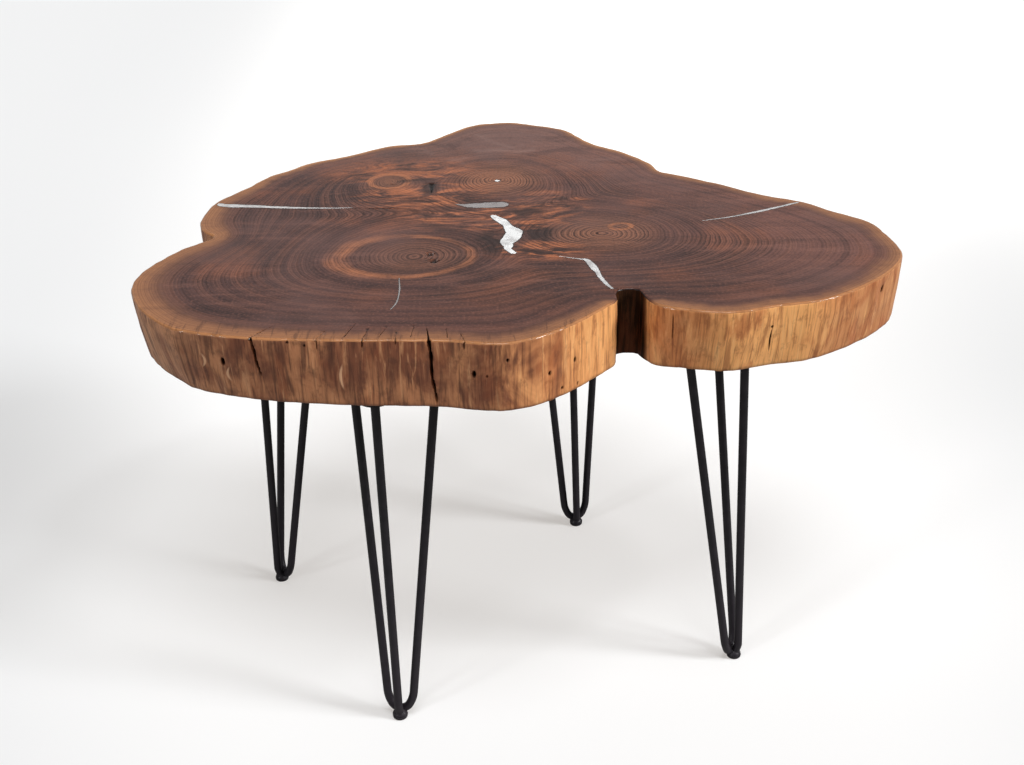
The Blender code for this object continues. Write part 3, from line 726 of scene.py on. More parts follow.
def coated_finish(mottle, name, low, high, rough, pebble):
    """Black coating or moulding: a cloudy tone and a fine pebble in the surface, with painted light that is
    lighter toward the floor.
    """
    material, tree, shader = new_material(name)
    skin = use(tree, mottle, place=object_place(tree), cloud_scale=90.0, pebble_scale=pebble)
    cloud = skin.outputs["Cloud"]
    colour = mix(tree, ease(tree, cloud, 0.3, 0.7), low, high)
    # Painted light: lighter toward the floor, darker up under the slab.
    height = xyz(tree, object_place(tree))[2]
    colour = tint(tree, colour, ease(tree, height, 0.02, 0.28, 0.42, 0.0), 54, 49, 55)
    tree.links.new(colour, shader.inputs["Base Color"])
    tree.links.new(ease(tree, cloud, 0.3, 0.7, rough - 0.05, rough + 0.06), shader.inputs["Roughness"])
    tree.links.new(bump(tree, skin.outputs["Pebble"], 0.18, 0.0004), shader.inputs["Normal"])
    shader.inputs["Specular IOR Level"].default_value = 0.22
    return material


def screw_finish(mottle):
    """Zinc plate: bright metal with a cloudy passivated tone."""
    material, tree, shader = new_material("zinc_plate")
    skin = use(tree, mottle, place=object_place(tree), cloud_scale=260.0, pebble_scale=1500.0)
    cloud = skin.outputs["Cloud"]
    tone = mix(tree, ease(tree, cloud, 0.3, 0.7), paint(150, 148, 142), paint(190, 188, 180))
    tree.links.new(tone, shader.inputs["Base Color"])
    tree.links.new(ease(tree, cloud, 0.3, 0.7, 0.28, 0.42), shader.inputs["Roughness"])
    tree.links.new(bump(tree, skin.outputs["Pebble"], 0.08, 0.0003), shader.inputs["Normal"])
    shader.inputs["Metallic"].default_value = 1.0
    return material


# Slab

def walk_ring(points, start):
    """Points of a closed ring in order: from each, on to the nearest one that is left."""
    order = [start]
    left = np.ones(len(points), bool)
    for _ in range(len(points) - 1):
        left[order[-1]] = False
        away = np.where(left, np.linalg.norm(points - points[order[-1]], axis=1), np.inf)
        order.append(int(away.argmin()))
    ring = points[order]
    x, y = ring.T
    anticlockwise = (x * np.roll(y, -1) - np.roll(x, -1) * y).sum() > 0
    return ring if anticlockwise else np.roll(ring[::-1], 1, axis=0)


def wall_rings():
    """The CAD wall's lowest and highest full rings, matched point for point."""
    points = node_points("slab")
    low, high = (points[np.abs(points[:, 2] - height) < 2e-5, :2]
                 for height in (SLAB_LOW[2] + BOTTOM_EASE, SLAB_HIGH[2] - TOP_EASE))
    high = walk_ring(high, int(high[:, 0].argmax()))
    low = walk_ring(low, int(np.linalg.norm(low - high[0], axis=1).argmin()))
    return low, high


def curve_places(curve, at):
    """Places on a closed curve at whole and part numbers of its points."""
    closed = np.concatenate((curve, curve[:1]))
    return np.stack([np.interp(at, np.arange(len(closed)), closed[:, k]) for k in (0, 1)], -1)


def rim_columns():
    """Low and high outline at each column, and the columns' lengths along the rim.

    Columns stand closer where a crack or a pit needs them. Each hangs down the wall from its high place
    to the nearest low one, where x counts for more than y, with the shift along the rim smoothed.
    """
    low, high = wall_rings()
    curve = closed_curve(np.concatenate((low, high), 1), 12)
    step = np.linalg.norm(np.roll(curve[:, 2:], -1, axis=0) - curve[:, 2:], axis=1)
    length = np.concatenate(([0.0], np.cumsum(step)))
    total = length[-1]
    marks = [(x, y, abs(lean) / 2 + 3 * half) for x, y, half, depth, lean, share, over in CRACKS]
    marks += [(x, y, 1.6 * half) for x, y, height, half, depth, tall in PITS]
    marks += [(x, y, 3 * half) for x, y, height, half, tall, bow in SCARS]
    density = np.ones(len(curve))
    for x, y, spread in marks:
        place = length[np.linalg.norm(curve[:, 2:] - (x, y), axis=1).argmin()]
        away = np.abs((length[:-1] - place + total / 2) % total - total / 2)
        density += 4.0 * np.exp(-(away / (spread + 0.002)) ** 4)
    crowd = np.concatenate(([0.0], np.cumsum(density * step)))
    at = np.interp(np.linspace(0, crowd[-1], COLUMNS, endpoint=False), crowd, np.arange(len(crowd)))
    high = curve_places(curve[:, 2:], at)
    nearest = np.linalg.norm((curve[None, :, :2] - high[:, None]) * HANG, axis=-1).argmin(1)
    shift = (nearest - at + len(curve) / 2) % len(curve) - len(curve) / 2
    most = STRAIGHTENING * len(curve)
    shift = np.tile(np.clip(shift, -most, most), 3)
    shift = np.convolve(shift, np.ones(SMOOTHING) / SMOOTHING, "same")[COLUMNS:2 * COLUMNS]
    low = curve_places(curve[:, :2], (at + shift) % len(curve))
    return low, high, np.interp(at, np.arange(len(length)), length), total


def rim_distance(points, outline):
    """Least distance of each point to an outline, and a soft one without creases.

    The soft distance is the inverse cube root of the outline's integral of 1 / distance to the fourth,
    divided by half of pi, which is the least distance itself beside a straight edge.
    """
    step = np.minimum(np.linalg.norm(np.roll(outline, -1, axis=0) - outline, axis=1), 0.008)
    least, soft = [], []
    for part in np.array_split(points, max(1, len(points) // 800)):
        away = np.linalg.norm(part[:, None] - outline[None], axis=-1)
        least.append(away.min(1))
        soft.append(((step / np.maximum(away, 0.0012) ** 4).sum(1) / (math.pi / 2)) ** (-1 / 3))
    return np.concatenate(least), np.concatenate(soft)


def inside(points, outline):
    """Whether each point is in an outline: an odd number of its edges pass to the point's right."""
    (x, y), (x0, y0) = points.T, outline.T
    x1, y1 = np.roll(outline, -1, axis=0).T
    spans = (y0[None] > y[:, None]) != (y1[None] > y[:, None])
    rise_y = np.where(y1 == y0, 1e-12, y1 - y0)
    crossing = x0 + (y[:, None] - y0) * ((x1 - x0) / rise_y)
    return (spans & (crossing > x[:, None])).sum(1) % 2 == 1


def face_marks(outline):
    """The marks sunk in the top, with the wall's cracks running on towards the nearest pith."""
    marks = list(FACE_MARKS)
    piths = np.array([pith[:2] for pith in PITHS])
    for x, y, half, depth, lean, share, over in CRACKS:
        start = outline[np.linalg.norm(outline - (x, y), axis=1).argmin()]
        inward = piths[np.linalg.norm(piths - start, axis=1).argmin()] - start
        inward /= np.linalg.norm(inward)
        marks.append((*(start - 0.003 * inward), *(start + over * inward), half * 0.7, depth * 0.25))
    return np.array(marks)


def mark_depth(points, marks):
    """Depth of the marks at points of the top, and the shade painted in their hollows: wedges that narrow
    from start to end.
    """
    depth, hollow_shade = np.zeros(len(points)), np.zeros(len(points))
    for x0, y0, x1, y1, half, deep in marks:
        start, way = np.array((x0, y0)), np.array((x1 - x0, y1 - y0))
        share = np.clip((points - start) @ way / (way @ way), 0, 1)
        away = np.linalg.norm(points - start - share[:, None] * way, axis=1)
        wedge = np.clip(1 - away / (half * (1 - 0.75 * share)), 0, 1)
        depth, hollow_shade = np.maximum(depth, deep * wedge), np.maximum(hollow_shade, np.minimum(1, 3 * wedge))
    return depth, hollow_shade


def mark_points(marks):
    """Points for a face to be woven from along each mark: rows of seven across it, and a ring of its ends."""
    share = np.linspace(-0.02, 1.02, 15)[:, None, None]
    across = np.array((-2.0, -1.0, -0.5, 0.0, 0.5, 1.0, 2.0))[None, :, None]
    found = []
    for x0, y0, x1, y1, half, deep in marks:
        way = np.array((x1 - x0, y1 - y0))
        square = np.array((-way[1], way[0])) / np.linalg.norm(way)
        width = half * (1 - 0.75 * np.clip(share, 0, 1))
        found.append(((x0, y0) + share * way + across * width * square).reshape(-1, 2))
        turn = np.linspace(0, 2 * math.pi, 12, endpoint=False)
        circle = np.stack((np.cos(turn), np.sin(turn)), -1)
        found += [np.array((x0, y0)) + half * size * circle for size in (0.5, 1.0, 1.5)]
    return np.concatenate(found)


def weave(edge, normal, spacing, added):
    """Flat face in an edge: a lattice of points, rows beside the edge and added points, and triangles.

    The lattice's odd rows are shifted by half its spacing. Points that crowd the edge or each other are
    left out. The triangles are the constrained Delaunay ones in the edge.
    """
    low, high = edge.min(0), edge.max(0)
    rows = np.arange(low[1], high[1], spacing * 0.87)
    across = np.arange(low[0] - spacing, high[0], spacing)
    lattice = np.stack(np.meshgrid(across, rows), -1)
    lattice[1::2, :, 0] += spacing / 2
    lattice = lattice.reshape(-1, 2)
    beside = [edge - inset * normal for inset in (0.0014, 0.0036, 0.0070)]
    points = np.concatenate((*beside, added, lattice))
    counts = (len(edge),) * 3 + (len(added), len(lattice))
    crowd = np.repeat((0.0012, 0.0030, 0.0060, 0.0006, 0.0090), counts)
    away, _ = rim_distance(points, edge)
    points = points[inside(points, edge) & (away > crowd)]
    _, first = np.unique((points / 0.0004).round().astype(int), axis=0, return_index=True)
    points = points[np.sort(first)]
    count = len(edge)
    ring = [(i, (i + 1) % count) for i in range(count)]
    flat = np.concatenate((edge, points))
    places = [Vector(place) for place in flat.tolist()]
    _, _, faces, origin, _, _ = delaunay_2d_cdt(places, ring, [], 1, 1e-7)
    source = np.array([numbers[0] for numbers in origin])
    triangles = source[np.array(faces)]
    a, b, c = (flat[triangles[:, k]] for k in range(3))
    turned_over = np.cross(b - a, c - a) < 0
    triangles[turned_over] = triangles[turned_over][:, ::-1]
    return points, triangles


def rim_offset(outline, length, total, place):
    """Signed length along the rim of each column from the column nearest to a place."""
    start = length[np.linalg.norm(outline - place, axis=1).argmin()]
    return (length - start + total / 2) % total - total / 2


def rim_marks(outline, length, total, height):
    """Depth, painted shade in the hollows and scarring of the wall on a grid of rim lengths by heights.

    A crack is a wedge: depth times (1 - |offset| / half-width), its middle line leaning and wandering
    with height. A pit is a bowl: depth times (1 - (distance / radius) squared), and a tall one a slit.
    A scar is a thin ellipse bowed with the square of height.
    """
    depth = np.zeros((len(height), len(length)))
    hollow_shade = np.zeros_like(depth)
    down = (1 - height)[:, None]
    for index, (x, y, half, deep, lean, share, over) in enumerate(CRACKS):
        middle = lean * down + 0.0007 * np.sin(9 * down + index) * np.minimum(1, 4 * down)
        width = half * (1.15 - 0.5 * down / share) * (1 + 0.25 * np.sin(31 * down + 2 * index))
        offset = rim_offset(outline, length, total, (x, y)) - middle
        wedge = np.clip(1 - np.abs(offset) / np.maximum(width, 2e-4), 0, 1)
        wedge = wedge * (1 - rise(down, share * 0.75, share + 0.001))
        depth = np.maximum(depth, deep * wedge)
        # Painted shade inside the crack.
        hollow_shade = np.maximum(hollow_shade, np.minimum(1, 1.6 * wedge))
    for x, y, share, half, deep, tall in PITS:
        offset = rim_offset(outline, length, total, (x, y))
        away = np.hypot(offset, (height - share)[:, None] * SLAB_THICKNESS / tall) / half
        depth = np.maximum(depth, deep * np.clip(1 - away ** 2, 0, 1))
        # Painted shade inside the pit and round its lip.
        hollow_shade = np.maximum(hollow_shade, rise(1.25 - away, 0, 0.5))
    scar = np.zeros_like(depth)
    for x, y, share, half, tall, bow in SCARS:
        above = (height - share)[:, None] * SLAB_THICKNESS
        offset = rim_offset(outline, length, total, (x, y)) - bow * above ** 2
        scar = np.maximum(scar, rise(1.3 - np.hypot(offset, above / tall) / half, 0, 0.6))
    return depth, hollow_shade, scar


def build_slab(face, wall, under):
    """Slab as one skin: underside, eased lower edge, live-edge wall, eased upper edge and top.

    Columns follow the outline. The wall goes from the low ring to the high one by a 1.5 power of
    height, less flutes, cracks and pits along the outline's normal. The top and the underside are woven
    in the edges' last rings, and the top sinks at its marks.
    """
    low, high, length, total = rim_columns()
    along = np.roll(high, -1, axis=0) - np.roll(high, 1, axis=0)
    normal = np.stack((along[:, 1], -along[:, 0]), -1)
    normal /= np.linalg.norm(normal, axis=1, keepdims=True)
    turn = length / total

    # Wall
    z = np.linspace(SLAB_LOW[2] + BOTTOM_EASE, SLAB_HIGH[2] - FACE_DROP - TOP_ROUND, WALL_ROWS)
    height = (z - SLAB_LOW[2]) / SLAB_THICKNESS
    drawn = (1 - height) ** 1.5
    share = ((drawn - drawn[-1]) / (drawn[0] - drawn[-1]))[:, None, None]
    plan = high + (low - high) * share
    sway = 0.0008 * np.sin(5 * height)[:, None]
    flutes = 0.00035 * ring_noise(turn + sway, 30, 110, 4) + 0.00016 * ring_noise(turn - sway, 120, 280, 5)
    ripple = 0.0003 * np.sin(14 * height + 0.7)[:, None] * ring_noise(turn, 8, 60, 6)
    deep, hollow_shade, scar = rim_marks(high, length, total, height)
    plan = plan + np.minimum(flutes + ripple + 0.0004 * scar, 0.0006)[..., None] * normal
    rim_plan, foot_plan = plan[-1], plan[0]
    plan = plan - deep[..., None] * normal
    wall_grid = np.concatenate((plan, np.broadcast_to(z[:, None, None], (WALL_ROWS, COLUMNS, 1))), -1)

    # Upper edge, a quarter round, with the cracks' wedges turning from inward to downward
    bend = np.linspace(0, math.pi / 2, TOP_BEND_ROWS + 1)[1:, None, None]
    edge = rim_plan - (TOP_ROUND * (1 - np.cos(bend)) + deep[-1][:, None] * (1 - np.sin(bend))) * normal
    edge_z = SLAB_HIGH[2] - FACE_DROP - TOP_ROUND * (1 - np.sin(bend))
    upper = np.concatenate((edge, np.broadcast_to(edge_z, (TOP_BEND_ROWS, COLUMNS, 1))), -1)

    # Lower edge
    bend = np.linspace(math.pi / 2, 0, LOW_BEND_ROWS + 1)[:-1, None, None]
    edge = foot_plan - (BOTTOM_EASE * (1 - np.cos(bend)) + deep[0][:, None] * (1 - np.sin(bend))) * normal
    edge_z = SLAB_LOW[2] + BOTTOM_EASE * (1 - np.sin(bend))
    lower = np.concatenate((edge, np.broadcast_to(edge_z, (LOW_BEND_ROWS, COLUMNS, 1))), -1)

    # Top and underside
    marks = face_marks(upper[-1, :, :2])
    face_plan, face_faces = weave(upper[-1, :, :2], normal, FACE_LATTICE, mark_points(marks))
    face_points = np.column_stack((face_plan, np.full(len(face_plan), SLAB_HIGH[2] - FACE_DROP)))
    under_plan, under_faces = weave(lower[0, :, :2], normal, UNDER_LATTICE, np.empty((0, 2)))
    under_points = np.column_stack((under_plan, np.full(len(under_plan), SLAB_LOW[2])))

    # All points, sunk at the marks, and the faces over them
    grid = np.concatenate((lower, wall_grid, upper))
    rows = len(grid)
    points = np.concatenate((grid.reshape(-1, 3), face_points, under_points))
    first_upper = (LOW_BEND_ROWS + WALL_ROWS) * COLUMNS
    last_upper, last_face = rows * COLUMNS, rows * COLUMNS + len(face_points)
    # Depth of the marks, and the shade painted in their hollows.
    sunk, painted_shade = mark_depth(points[:, :2], marks)
    sunk[:first_upper], painted_shade[:first_upper] = 0, 0
    sunk[last_face:], painted_shade[last_face:] = 0, 0
    points[:, 2] -= sunk
    # Painted shade in the wall's cracks and pits.
    painted_shade[LOW_BEND_ROWS * COLUMNS:first_upper] = hollow_shade.ravel()
    notch = np.hypot(*((high - NOTCH_PLACE) / NOTCH_RADII).T)
    growth_rim = closed_curve(high[::4], 8)
    growth_rim = growth_rim[np.hypot(*((growth_rim - NOTCH_PLACE) / NOTCH_RADII).T) > NOTCH_REACH]
    # Painted shade inside the notch, kept off the top's last three rows.
    notch = np.tile(0.96 * rise(1.2 - notch, 0, 0.3), rows)
    notch[last_upper - 3 * COLUMNS:] = 0
    painted_shade[:last_upper] = np.maximum(painted_shade[:last_upper], notch)
    points = np.clip(points, SLAB_LOW, SLAB_HIGH)
    quads = skin_faces(rows, COLUMNS)[0]
    face_index = last_upper - COLUMNS + face_faces
    under_index = np.where(under_faces < COLUMNS, under_faces, last_face - COLUMNS + under_faces)[:, ::-1]
    kind = np.repeat(np.where(np.arange(rows - 1) < rows - TOP_BEND_ROWS, 1, 0), COLUMNS)
    kind = np.concatenate((kind, np.zeros(len(face_index)), np.full(len(under_index), 2)))
    _, growth = rim_distance(points[:, :2], growth_rim)
    piece = add_mesh("live_edge_slab", points, quads.tolist() + face_index.tolist() + under_index.tolist(),
                     (face, wall, under), 60.0)
    column = points.copy()
    column[:last_upper, :2] = np.tile(high, (rows, 1))
    store_places(piece, "column", column)
    store(piece, "growth", growth)
    store(piece, "hollow_shade", painted_shade)
    scarred = np.zeros(len(points))
    scarred[LOW_BEND_ROWS * COLUMNS:first_upper] = scar.ravel()
    store(piece, "scar", scarred)
    piece.data.polygons.foreach_set("material_index", kind.astype(np.int32))
    return settle(piece, "walnut", "slab")


def build_resin(name, stations, finish):
    """Resin fill: a crowned ribbon carried along its crack, with a closed foot in the wood.

    Across the ribbon the height is the slab's top less a crown that grows with the square of the
    offset. The half-width comes from the stations, wavers with seeded noise and closes at both ends.
    """
    count = 40 + 12 * len(stations)
    line = along_path(stations, count)
    spine, half = line[:, :2], line[:, 2] / 2 * RESIN_SLIM.get(name, 1.0)
    along = np.gradient(spine, axis=0)
    run = np.concatenate(([0.0], np.cumsum(np.linalg.norm(np.diff(spine, axis=0), axis=1))))
    along /= np.linalg.norm(along, axis=1, keepdims=True)
    side = np.stack((-along[:, 1], along[:, 0]), -1)
    seed = 40 + list(RESIN).index(name)
    waver = [1 + 0.07 * ring_noise(run / (run[-1] + 0.02), 2, 9, seed + 20 * k) for k in (0, 1)]
    ends = np.minimum(run, run[-1] - run) + 0.0002
    cap = np.sqrt(np.clip(1 - (1 - np.clip(ends / np.maximum(half, 1e-4), 0, 1)) ** 2, 0, 1))
    border = np.minimum(RESIN_BORDER, 0.15 * half + 0.0003)
    left, right = (half * cap * w + border * np.minimum(1, 0.3 + cap) for w in waver)
    across = np.linspace(1, -1, 13)
    reach = np.where(across[None] > 0, left[:, None], right[:, None]) * across
    plan = spine[:, None] + reach[..., None] * side[:, None]
    crown = 0.0002 * across ** 2
    top = np.dstack((plan, np.broadcast_to(SLAB_HIGH[2] - crown, reach.shape)))
    foot = spine[:, None] + 0.92 * reach[:, ::6, None][:, ::-1] * side[:, None]
    foot = np.concatenate((foot, np.full((count, 3, 1), SLAB_HIGH[2] - RESIN_DEPTH)), -1)
    piece = add_skin(name + "_pour", np.concatenate((top, foot), 1), finish)
    inset = np.where(across[None] > 0, left[:, None], right[:, None]) * (1 - np.abs(across)) - border[:, None]
    inset = np.concatenate((inset, np.full((count, 3), -RESIN_BORDER)), 1)
    store(piece, "inset", np.append(inset, (-RESIN_BORDER, -RESIN_BORDER)))
    store(piece, "grey", np.full(count * 16 + 2, RESIN_GREY.get(name, 0.0)))
    return settle(piece, "pearl_resin", name)


# Legs

def rod_tops(name):
    """Distinct points of a CAD hairpin, and those of its two cut ends."""
    points = node_points(name)
    top = points[points[:, 2] > points[:, 2].max() - 1e-5]
    spread = np.linalg.svd(top - top.mean(0))[2][0]
    side = (top - top.mean(0)) @ spread
    return points, top[side < 0], top[side > 0]


def arc(radius, centre, start, end, count):
    """Points of an arc in a plane: the centre plus radius times cosine and sine of even angles."""
    turn = np.linspace(start, end, count)[:, None]
    return np.asarray(centre) + radius * np.concatenate((np.cos(turn), np.sin(turn)), 1)


def build_hairpin(leg, steel):
    """Hairpin: one round bar swept down, round a shoulder, the nose and the other shoulder, and up again.

    The path lies in the plane of the bar's two cut ends and its lowest point. Each arc runs on from the
    one before, and the straights touch the shoulders.
    """
    name = f"{leg}_hairpin"
    points, first, last = rod_tops(name)
    first, last = first.mean(0), last.mean(0)
    middle = (first + last) / 2
    across = (last - first) / np.linalg.norm(last - first)
    nose = points[(np.abs((points - middle) @ across) < 2e-4) & (points[:, 2] < 0.04)]
    lowest = nose.mean(0)
    upward = (middle - lowest) / np.linalg.norm(middle - lowest)
    radius = np.linalg.norm(nose - lowest, axis=1).max()
    top = np.array((np.linalg.norm(last - first) / 2, np.linalg.norm(middle - lowest)))
    join_angle = math.radians(NOSE_TURN - 90)
    centre = arc(NOSE_RADIUS - SHOULDER_RADIUS, (0, NOSE_RADIUS), join_angle, join_angle, 1)[0]
    over, up = top - centre
    touch = math.atan2(up, over) - math.acos(SHOULDER_RADIUS / math.hypot(over, up))
    shoulder = arc(SHOULDER_RADIUS, centre, touch, join_angle, 14)
    straight = top + (shoulder[0] - top) * np.linspace(0, 1, 8)[:-1, None]
    bend = arc(NOSE_RADIUS, (0, NOSE_RADIUS), join_angle, -math.pi / 2, 14)
    side = np.concatenate((straight, shoulder, bend[1:]))
    flat = np.concatenate((side, side[-2::-1] * (-1, 1)))
    path = lowest + flat[:, :1] * across + flat[:, 1:] * upward
    piece = add_skin(f"{leg}_bent_rod", tube(path, radius, ROD_SIDES), steel)
    return settle(piece, "black_steel", name)


def build_strut(leg, steel):
    """Strut: one straight round bar between the middles of its two level cut ends.

    Its last 16 mm swing over to the middle of the puck, where the weld takes it up.
    """
    name = f"{leg}_strut"
    points = node_points(name)
    low, high = (points[np.abs(points[:, 2] - z) < 1e-5] for z in (points[:, 2].min(), points[:, 2].max()))
    start, end = low.mean(0), high.mean(0)
    axis = (end - start) / np.linalg.norm(end - start)
    out = low - start
    radius = np.linalg.norm(out - (out @ axis)[:, None] * axis, axis=1).max()
    share = np.concatenate((np.linspace(0, 0.05, 9), np.linspace(0.05, 1, 7)[1:]))
    path = start + (end - start) * share[:, None]
    turn = np.linspace(0, 2 * math.pi, ROD_SIDES, endpoint=False)[:, None]
    aside = np.cross(axis, (0.0, 1.0, 0.0))
    aside /= np.linalg.norm(aside)
    skin = path[:, None] + radius * (np.cos(turn) * aside + np.sin(turn) * np.cross(axis, aside))
    skin += ((path[:, None, 2] - skin[..., 2]) / axis[2])[..., None] * axis
    puck = np.mean(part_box(f"{leg}_puck"), axis=0)
    skin[..., :2] += 0.7 * (1 - rise(path[:, 2], 0.004, 0.020))[:, None, None] * (puck - start)[:2]
    piece = add_skin(f"{leg}_third_rod", skin, steel)
    return settle(piece, "black_steel", name)


def build_foot(leg, steel, nylon):
    """Foot: a turned steel puck with rounded edges, and a domed glide with a flat tread and a stem."""
    low, high = (np.array(corner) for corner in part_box(f"{leg}_puck"))
    centre, radius = (low + high)[:2] / 2, (high - low)[0] / 2
    bend = np.linspace(0, math.pi / 2, 5)
    soft = 0.0004
    outer = [(radius - soft + soft * math.sin(a), low[2] + soft - soft * math.cos(a)) for a in bend]
    outer += [(radius - soft + soft * math.cos(a), high[2] - soft + soft * math.sin(a)) for a in bend]
    profile = [(0.0027, low[2]), *outer, (0.0027, high[2])]
    piece = add_skin(f"{leg}_foot_puck", turned(profile, centre, 48), steel)
    settle(piece, "black_steel", f"{leg}_puck")
    low, high = (np.array(corner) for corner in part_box(f"{leg}_glide"))
    centre, radius = (low + high)[:2] / 2, (high - low)[0] / 2
    tread, dome = 0.0055, 0.0016
    bend = np.linspace(0, math.pi / 2, 9)
    outer = [(tread + (radius - tread) * math.sin(a), dome * (1 - math.cos(a))) for a in bend]
    profile = [(0.003, 0.0), *outer, (radius - 0.0002, 0.0020), (0.0022, 0.0021), (0.0022, high[2] - 0.0003),
               (0.0018, high[2])]
    piece = add_skin(f"{leg}_floor_glide", turned(profile, centre, 48), nylon)
    return settle(piece, "black_nylon", f"{leg}_glide")


def build_welds(leg, steel):
    """Welds: rippled beads round each rod under the plate, and a mound over the puck at the foot.

    A bead's profile is carried round its rod, and its reach is the rod's radius plus the profile's, swelled
    by a sine of eleven waves. The mound's is a little longer along the hairpin, with nine waves.
    """
    _, first, last = rod_tops(f"{leg}_hairpin")
    strut = node_points(f"{leg}_strut")
    third = strut[strut[:, 2] > strut[:, 2].max() - 1e-5]
    turn = np.linspace(0, 2 * math.pi, 48, endpoint=False)
    circle = np.stack((np.cos(turn), np.sin(turn)), -1)
    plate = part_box(f"{leg}_plate")[0][2]
    bead = np.array(((0.0, -0.0034), (0.0004, -0.0031), (0.0015, -0.0022), (0.0027, -0.0010),
                     (0.0032, 0.0004), (0.0, 0.0004)))
    for index, ring in enumerate((first, last, third)):
        middle = ring.mean(0)
        size = np.linalg.norm(ring - middle, axis=1).mean() - 0.0003
        reach = size + bead[:, 0, None] * (1 + 0.10 * np.sin(turn * 11 + index))
        plan = middle[:2] + reach[..., None] * circle
        height = np.broadcast_to((plate + bead[:, 1])[:, None, None], (len(bead), len(turn), 1))
        piece = add_skin(f"{leg}_plate_weld_{index + 1}", np.concatenate((plan, height), -1), steel)
        settle(piece, "black_steel")
    low, high = (np.array(corner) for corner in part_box(f"{leg}_puck"))
    mound = np.array(((0.0066, 0.0), (0.0076, 0.0006), (0.0079, 0.0014), (0.0074, 0.0028), (0.0065, 0.0043),
                      (0.0053, 0.0058), (0.0038, 0.0069), (0.0015, 0.0075)))
    across = (last.mean(0) - first.mean(0))[:2]
    across /= np.linalg.norm(across)
    reach = mound[:, 0, None] * (1 + 0.10 * (circle @ across) ** 2) * (1 + 0.015 * np.sin(turn * 9 + 1))
    plan = (low + high)[:2] / 2 + reach[..., None] * circle
    height = np.broadcast_to((high[2] - 0.0003 + mound[:, 1])[:, None, None], (len(mound), len(turn), 1))
    piece = add_skin(f"{leg}_foot_weld", np.concatenate((plan, height), -1), steel)
    return settle(piece, "black_steel")


def build_screw(leg, number, zinc):
    """Wood screw: a pan head with a cross recess, a shank, and a thread wound round it.

    The head's height falls with the fourth power of radius, less the recess where either side
    distance is within its half-width. The thread swells the shank with the sine of turn and height.
    """
    name = f"{leg}_screw_{number}"
    low, high = (np.array(corner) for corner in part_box(name))
    centre, head = (low + high)[:2] / 2, (high - low)[0] / 2
    turn = np.linspace(0, 2 * math.pi, 40, endpoint=False)
    circle = np.stack((np.cos(turn), np.sin(turn)), -1)
    share = np.linspace(0.06, 1, 14)
    plan = share[:, None, None] * head * circle
    arm = np.abs(plan).min(-1)
    recess = rise(0.00075 - arm, 0, 0.0003) * rise(0.62 * head - share * head, 0, 0.0006)[:, None]
    height = low[2] + 0.0014 * share[:, None] ** 4 + 0.0015 * recess
    cap = np.concatenate((plan, height[..., None]), -1)
    brim = np.concatenate((head * circle, np.full((40, 1), low[2] + 0.0028)), -1)[None]
    z = np.linspace(low[2] + 0.003, high[2] - 0.0005, 60)
    tip = 1 - rise(z, high[2] - 0.006, high[2] + 0.002)
    thread = 0.00030 * np.sin(turn[None] - 2 * math.pi * z[:, None] / 0.0019)
    reach = (0.0017 + thread * (z > low[2] + 0.007)[:, None]) * tip[:, None]
    shank = np.concatenate((reach[..., None] * circle, np.broadcast_to(z[:, None, None], (60, 40, 1))), -1)
    points = np.concatenate((cap, brim, shank))
    points[..., :2] += centre
    return settle(add_skin(f"{name}_wood", points, zinc), "zinc_screw", name)


# Stage

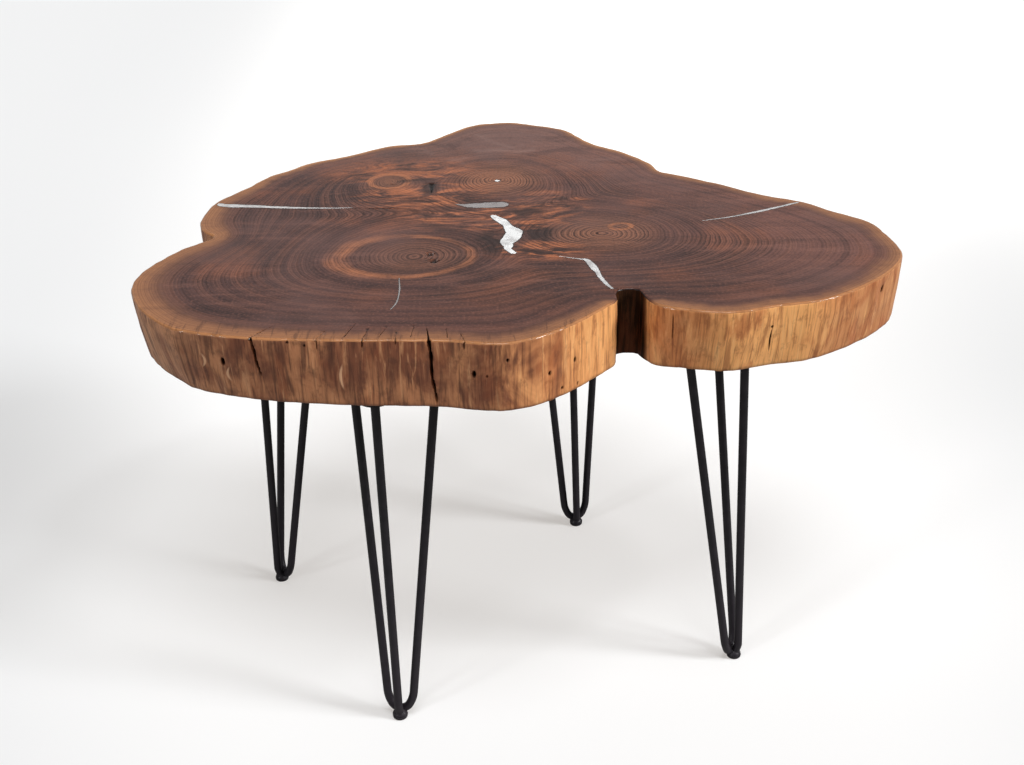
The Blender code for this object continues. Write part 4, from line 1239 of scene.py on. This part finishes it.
def build_stage():
    """Pale floor that glows to white for the camera, with painted shade in its glow to the sides and in
    front, and keeps a soft shadow; with soft lights.
    """
    scene = bpy.context.scene
    floor = bpy.data.meshes.new("studio_floor")
    floor.from_pydata([(-30, -12, 0), (30, -12, 0), (30, 60, 0), (-30, 60, 0)], [], [(0, 1, 2, 3)])
    ground = bpy.data.objects.new("studio_floor", floor)
    scene.collection.objects.link(ground)
    material, tree, shader = new_material("studio_floor")
    floor.materials.append(material)
    tree.nodes.remove(shader)
    matt = put(tree, "ShaderNodeBsdfDiffuse", {"Color": (0.42, 0.41, 0.40, 1.0)})
    bright = put(tree, "ShaderNodeBsdfDiffuse", {"Color": (0.60, 0.615, 0.63, 1.0)})
    x, y = xyz(tree, object_place(tree))[:2]
    # Painted light and shade in the floor's glow: lower to the left, the right and in front, higher behind,
    # most on the right.
    aside = calc(tree, "ABSOLUTE", calc(tree, "SUBTRACT", x, 0.05))
    far_glow_and_painted_shade = product(tree, ease(tree, y, 0.3, 2.0, 0.0, 0.30), ease(tree, x, -1.2, 0.2, 0.1, 1.0))
    far_glow_and_painted_shade = calc(tree, "ADD", far_glow_and_painted_shade, ease(tree, y, -0.45, -0.10, -0.06, 0.02))
    glow_and_painted_shade = calc(tree, "ADD", ease(tree, aside, 0.3, 1.0, 0.40, 0.19), far_glow_and_painted_shade)
    glow = put(tree, "ShaderNodeEmission", {"Color": (1.0, 0.94, 0.88, 1.0), "Strength": glow_and_painted_shade})
    seen = put(tree, "ShaderNodeAddShader", {0: bright.outputs[0], 1: glow.outputs[0]})
    beyond = calc(tree, "MAXIMUM", ease(tree, calc(tree, "ABSOLUTE", x), 2.0, 3.6),
                  ease(tree, y, -0.7, -2.4))
    beyond = calc(tree, "MAXIMUM", beyond, ease(tree, y, 3.4, 5.0))
    white = put(tree, "ShaderNodeEmission", {"Color": ROOM_WHITE})
    seen = put(tree, "ShaderNodeMixShader", {0: beyond, 1: seen.outputs[0], 2: white.outputs[0]})
    path = put(tree, "ShaderNodeLightPath")
    blend = put(tree, "ShaderNodeMixShader",
                {0: path.outputs["Is Camera Ray"], 1: matt.outputs[0], 2: seen.outputs[0]})
    tree.links.new(blend.outputs[0], tree.nodes["Material Output"].inputs["Surface"])

    world = bpy.data.worlds.new("studio")
    world.use_nodes = True
    room = world.node_tree
    room.nodes["Background"].inputs["Color"].default_value = ROOM_WHITE
    _, ahead, up = xyz(room, put(room, "ShaderNodeTexCoord").outputs["Generated"])
    wide, low = ease(room, ahead, 0.3, 0.8), ease(room, up, 0.75, 0.40)
    glow = calc(room, "MULTIPLY_ADD", product(room, wide, low), 0.16, 0.20)
    glow = calc(room, "MAXIMUM", glow, put(room, "ShaderNodeLightPath").outputs["Is Camera Ray"])
    room.links.new(glow, room.nodes["Background"].inputs["Strength"])
    scene.world = world

    lamps = (("key_right", (0.91, -0.24, 0.46), 2.4, 16.0),
             ("overhead", (0.05, -0.30, 1.0), 1.30, 30.0),
             ("edge_right", (0.53, -0.18, 0.85), 0.28, 6.0),
             ("fill_left", (-0.76, -0.62, 0.36), 0.65, 9.0))
    for name, toward, power, spread in lamps:
        lamp = bpy.data.lights.new(name, "SUN")
        lamp.energy, lamp.angle = power, math.radians(spread)
        holder = bpy.data.objects.new(name, lamp)
        scene.collection.objects.link(holder)
        holder.matrix_world = Vector(toward).to_track_quat("Z", "Y").to_matrix().to_4x4()

    lens = bpy.data.cameras.new("camera")
    lens.lens, lens.sensor_width = CAMERA_LENS, SENSOR_WIDTH
    camera = bpy.data.objects.new("camera", lens)
    scene.collection.objects.link(camera)
    tilt = Matrix.Rotation(math.radians(CAMERA_TILT), 4, "X")
    tilt = tilt @ Matrix.Rotation(math.radians(CAMERA_ROLL), 4, "Z")
    camera.matrix_world = Matrix.Translation(CAMERA_PLACE) @ tilt
    scene.camera = camera
    scene.view_settings.view_transform = "Standard"


def main():
    rings, grain, mottle = growth_rings(), long_grain(), surface_mottle()
    steel = coated_finish(mottle, "satin_black_powder_coat",
                          paint(22, 20, 23), paint(31, 28, 32), 0.42, 1400.0)
    nylon = coated_finish(mottle, "moulded_black_nylon",
                          paint(16, 15, 17), paint(26, 25, 27), 0.50, 2400.0)
    zinc = screw_finish(mottle)
    resin = resin_finish(mottle)
    build_slab(face_finish(rings), wall_finish(grain), under_finish(rings))
    for name, stations in RESIN.items():
        build_resin(name, stations, resin)
    for leg in LEGS:
        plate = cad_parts[f"{leg}_plate"]
        plate.data.materials.clear()
        plate.data.materials.append(steel)
        build_hairpin(leg, steel)
        build_strut(leg, steel)
        build_foot(leg, steel, nylon)
        build_welds(leg, steel)
        for number in (1, 2, 3, 4):
            build_screw(leg, number, zinc)
    build_stage()


main()
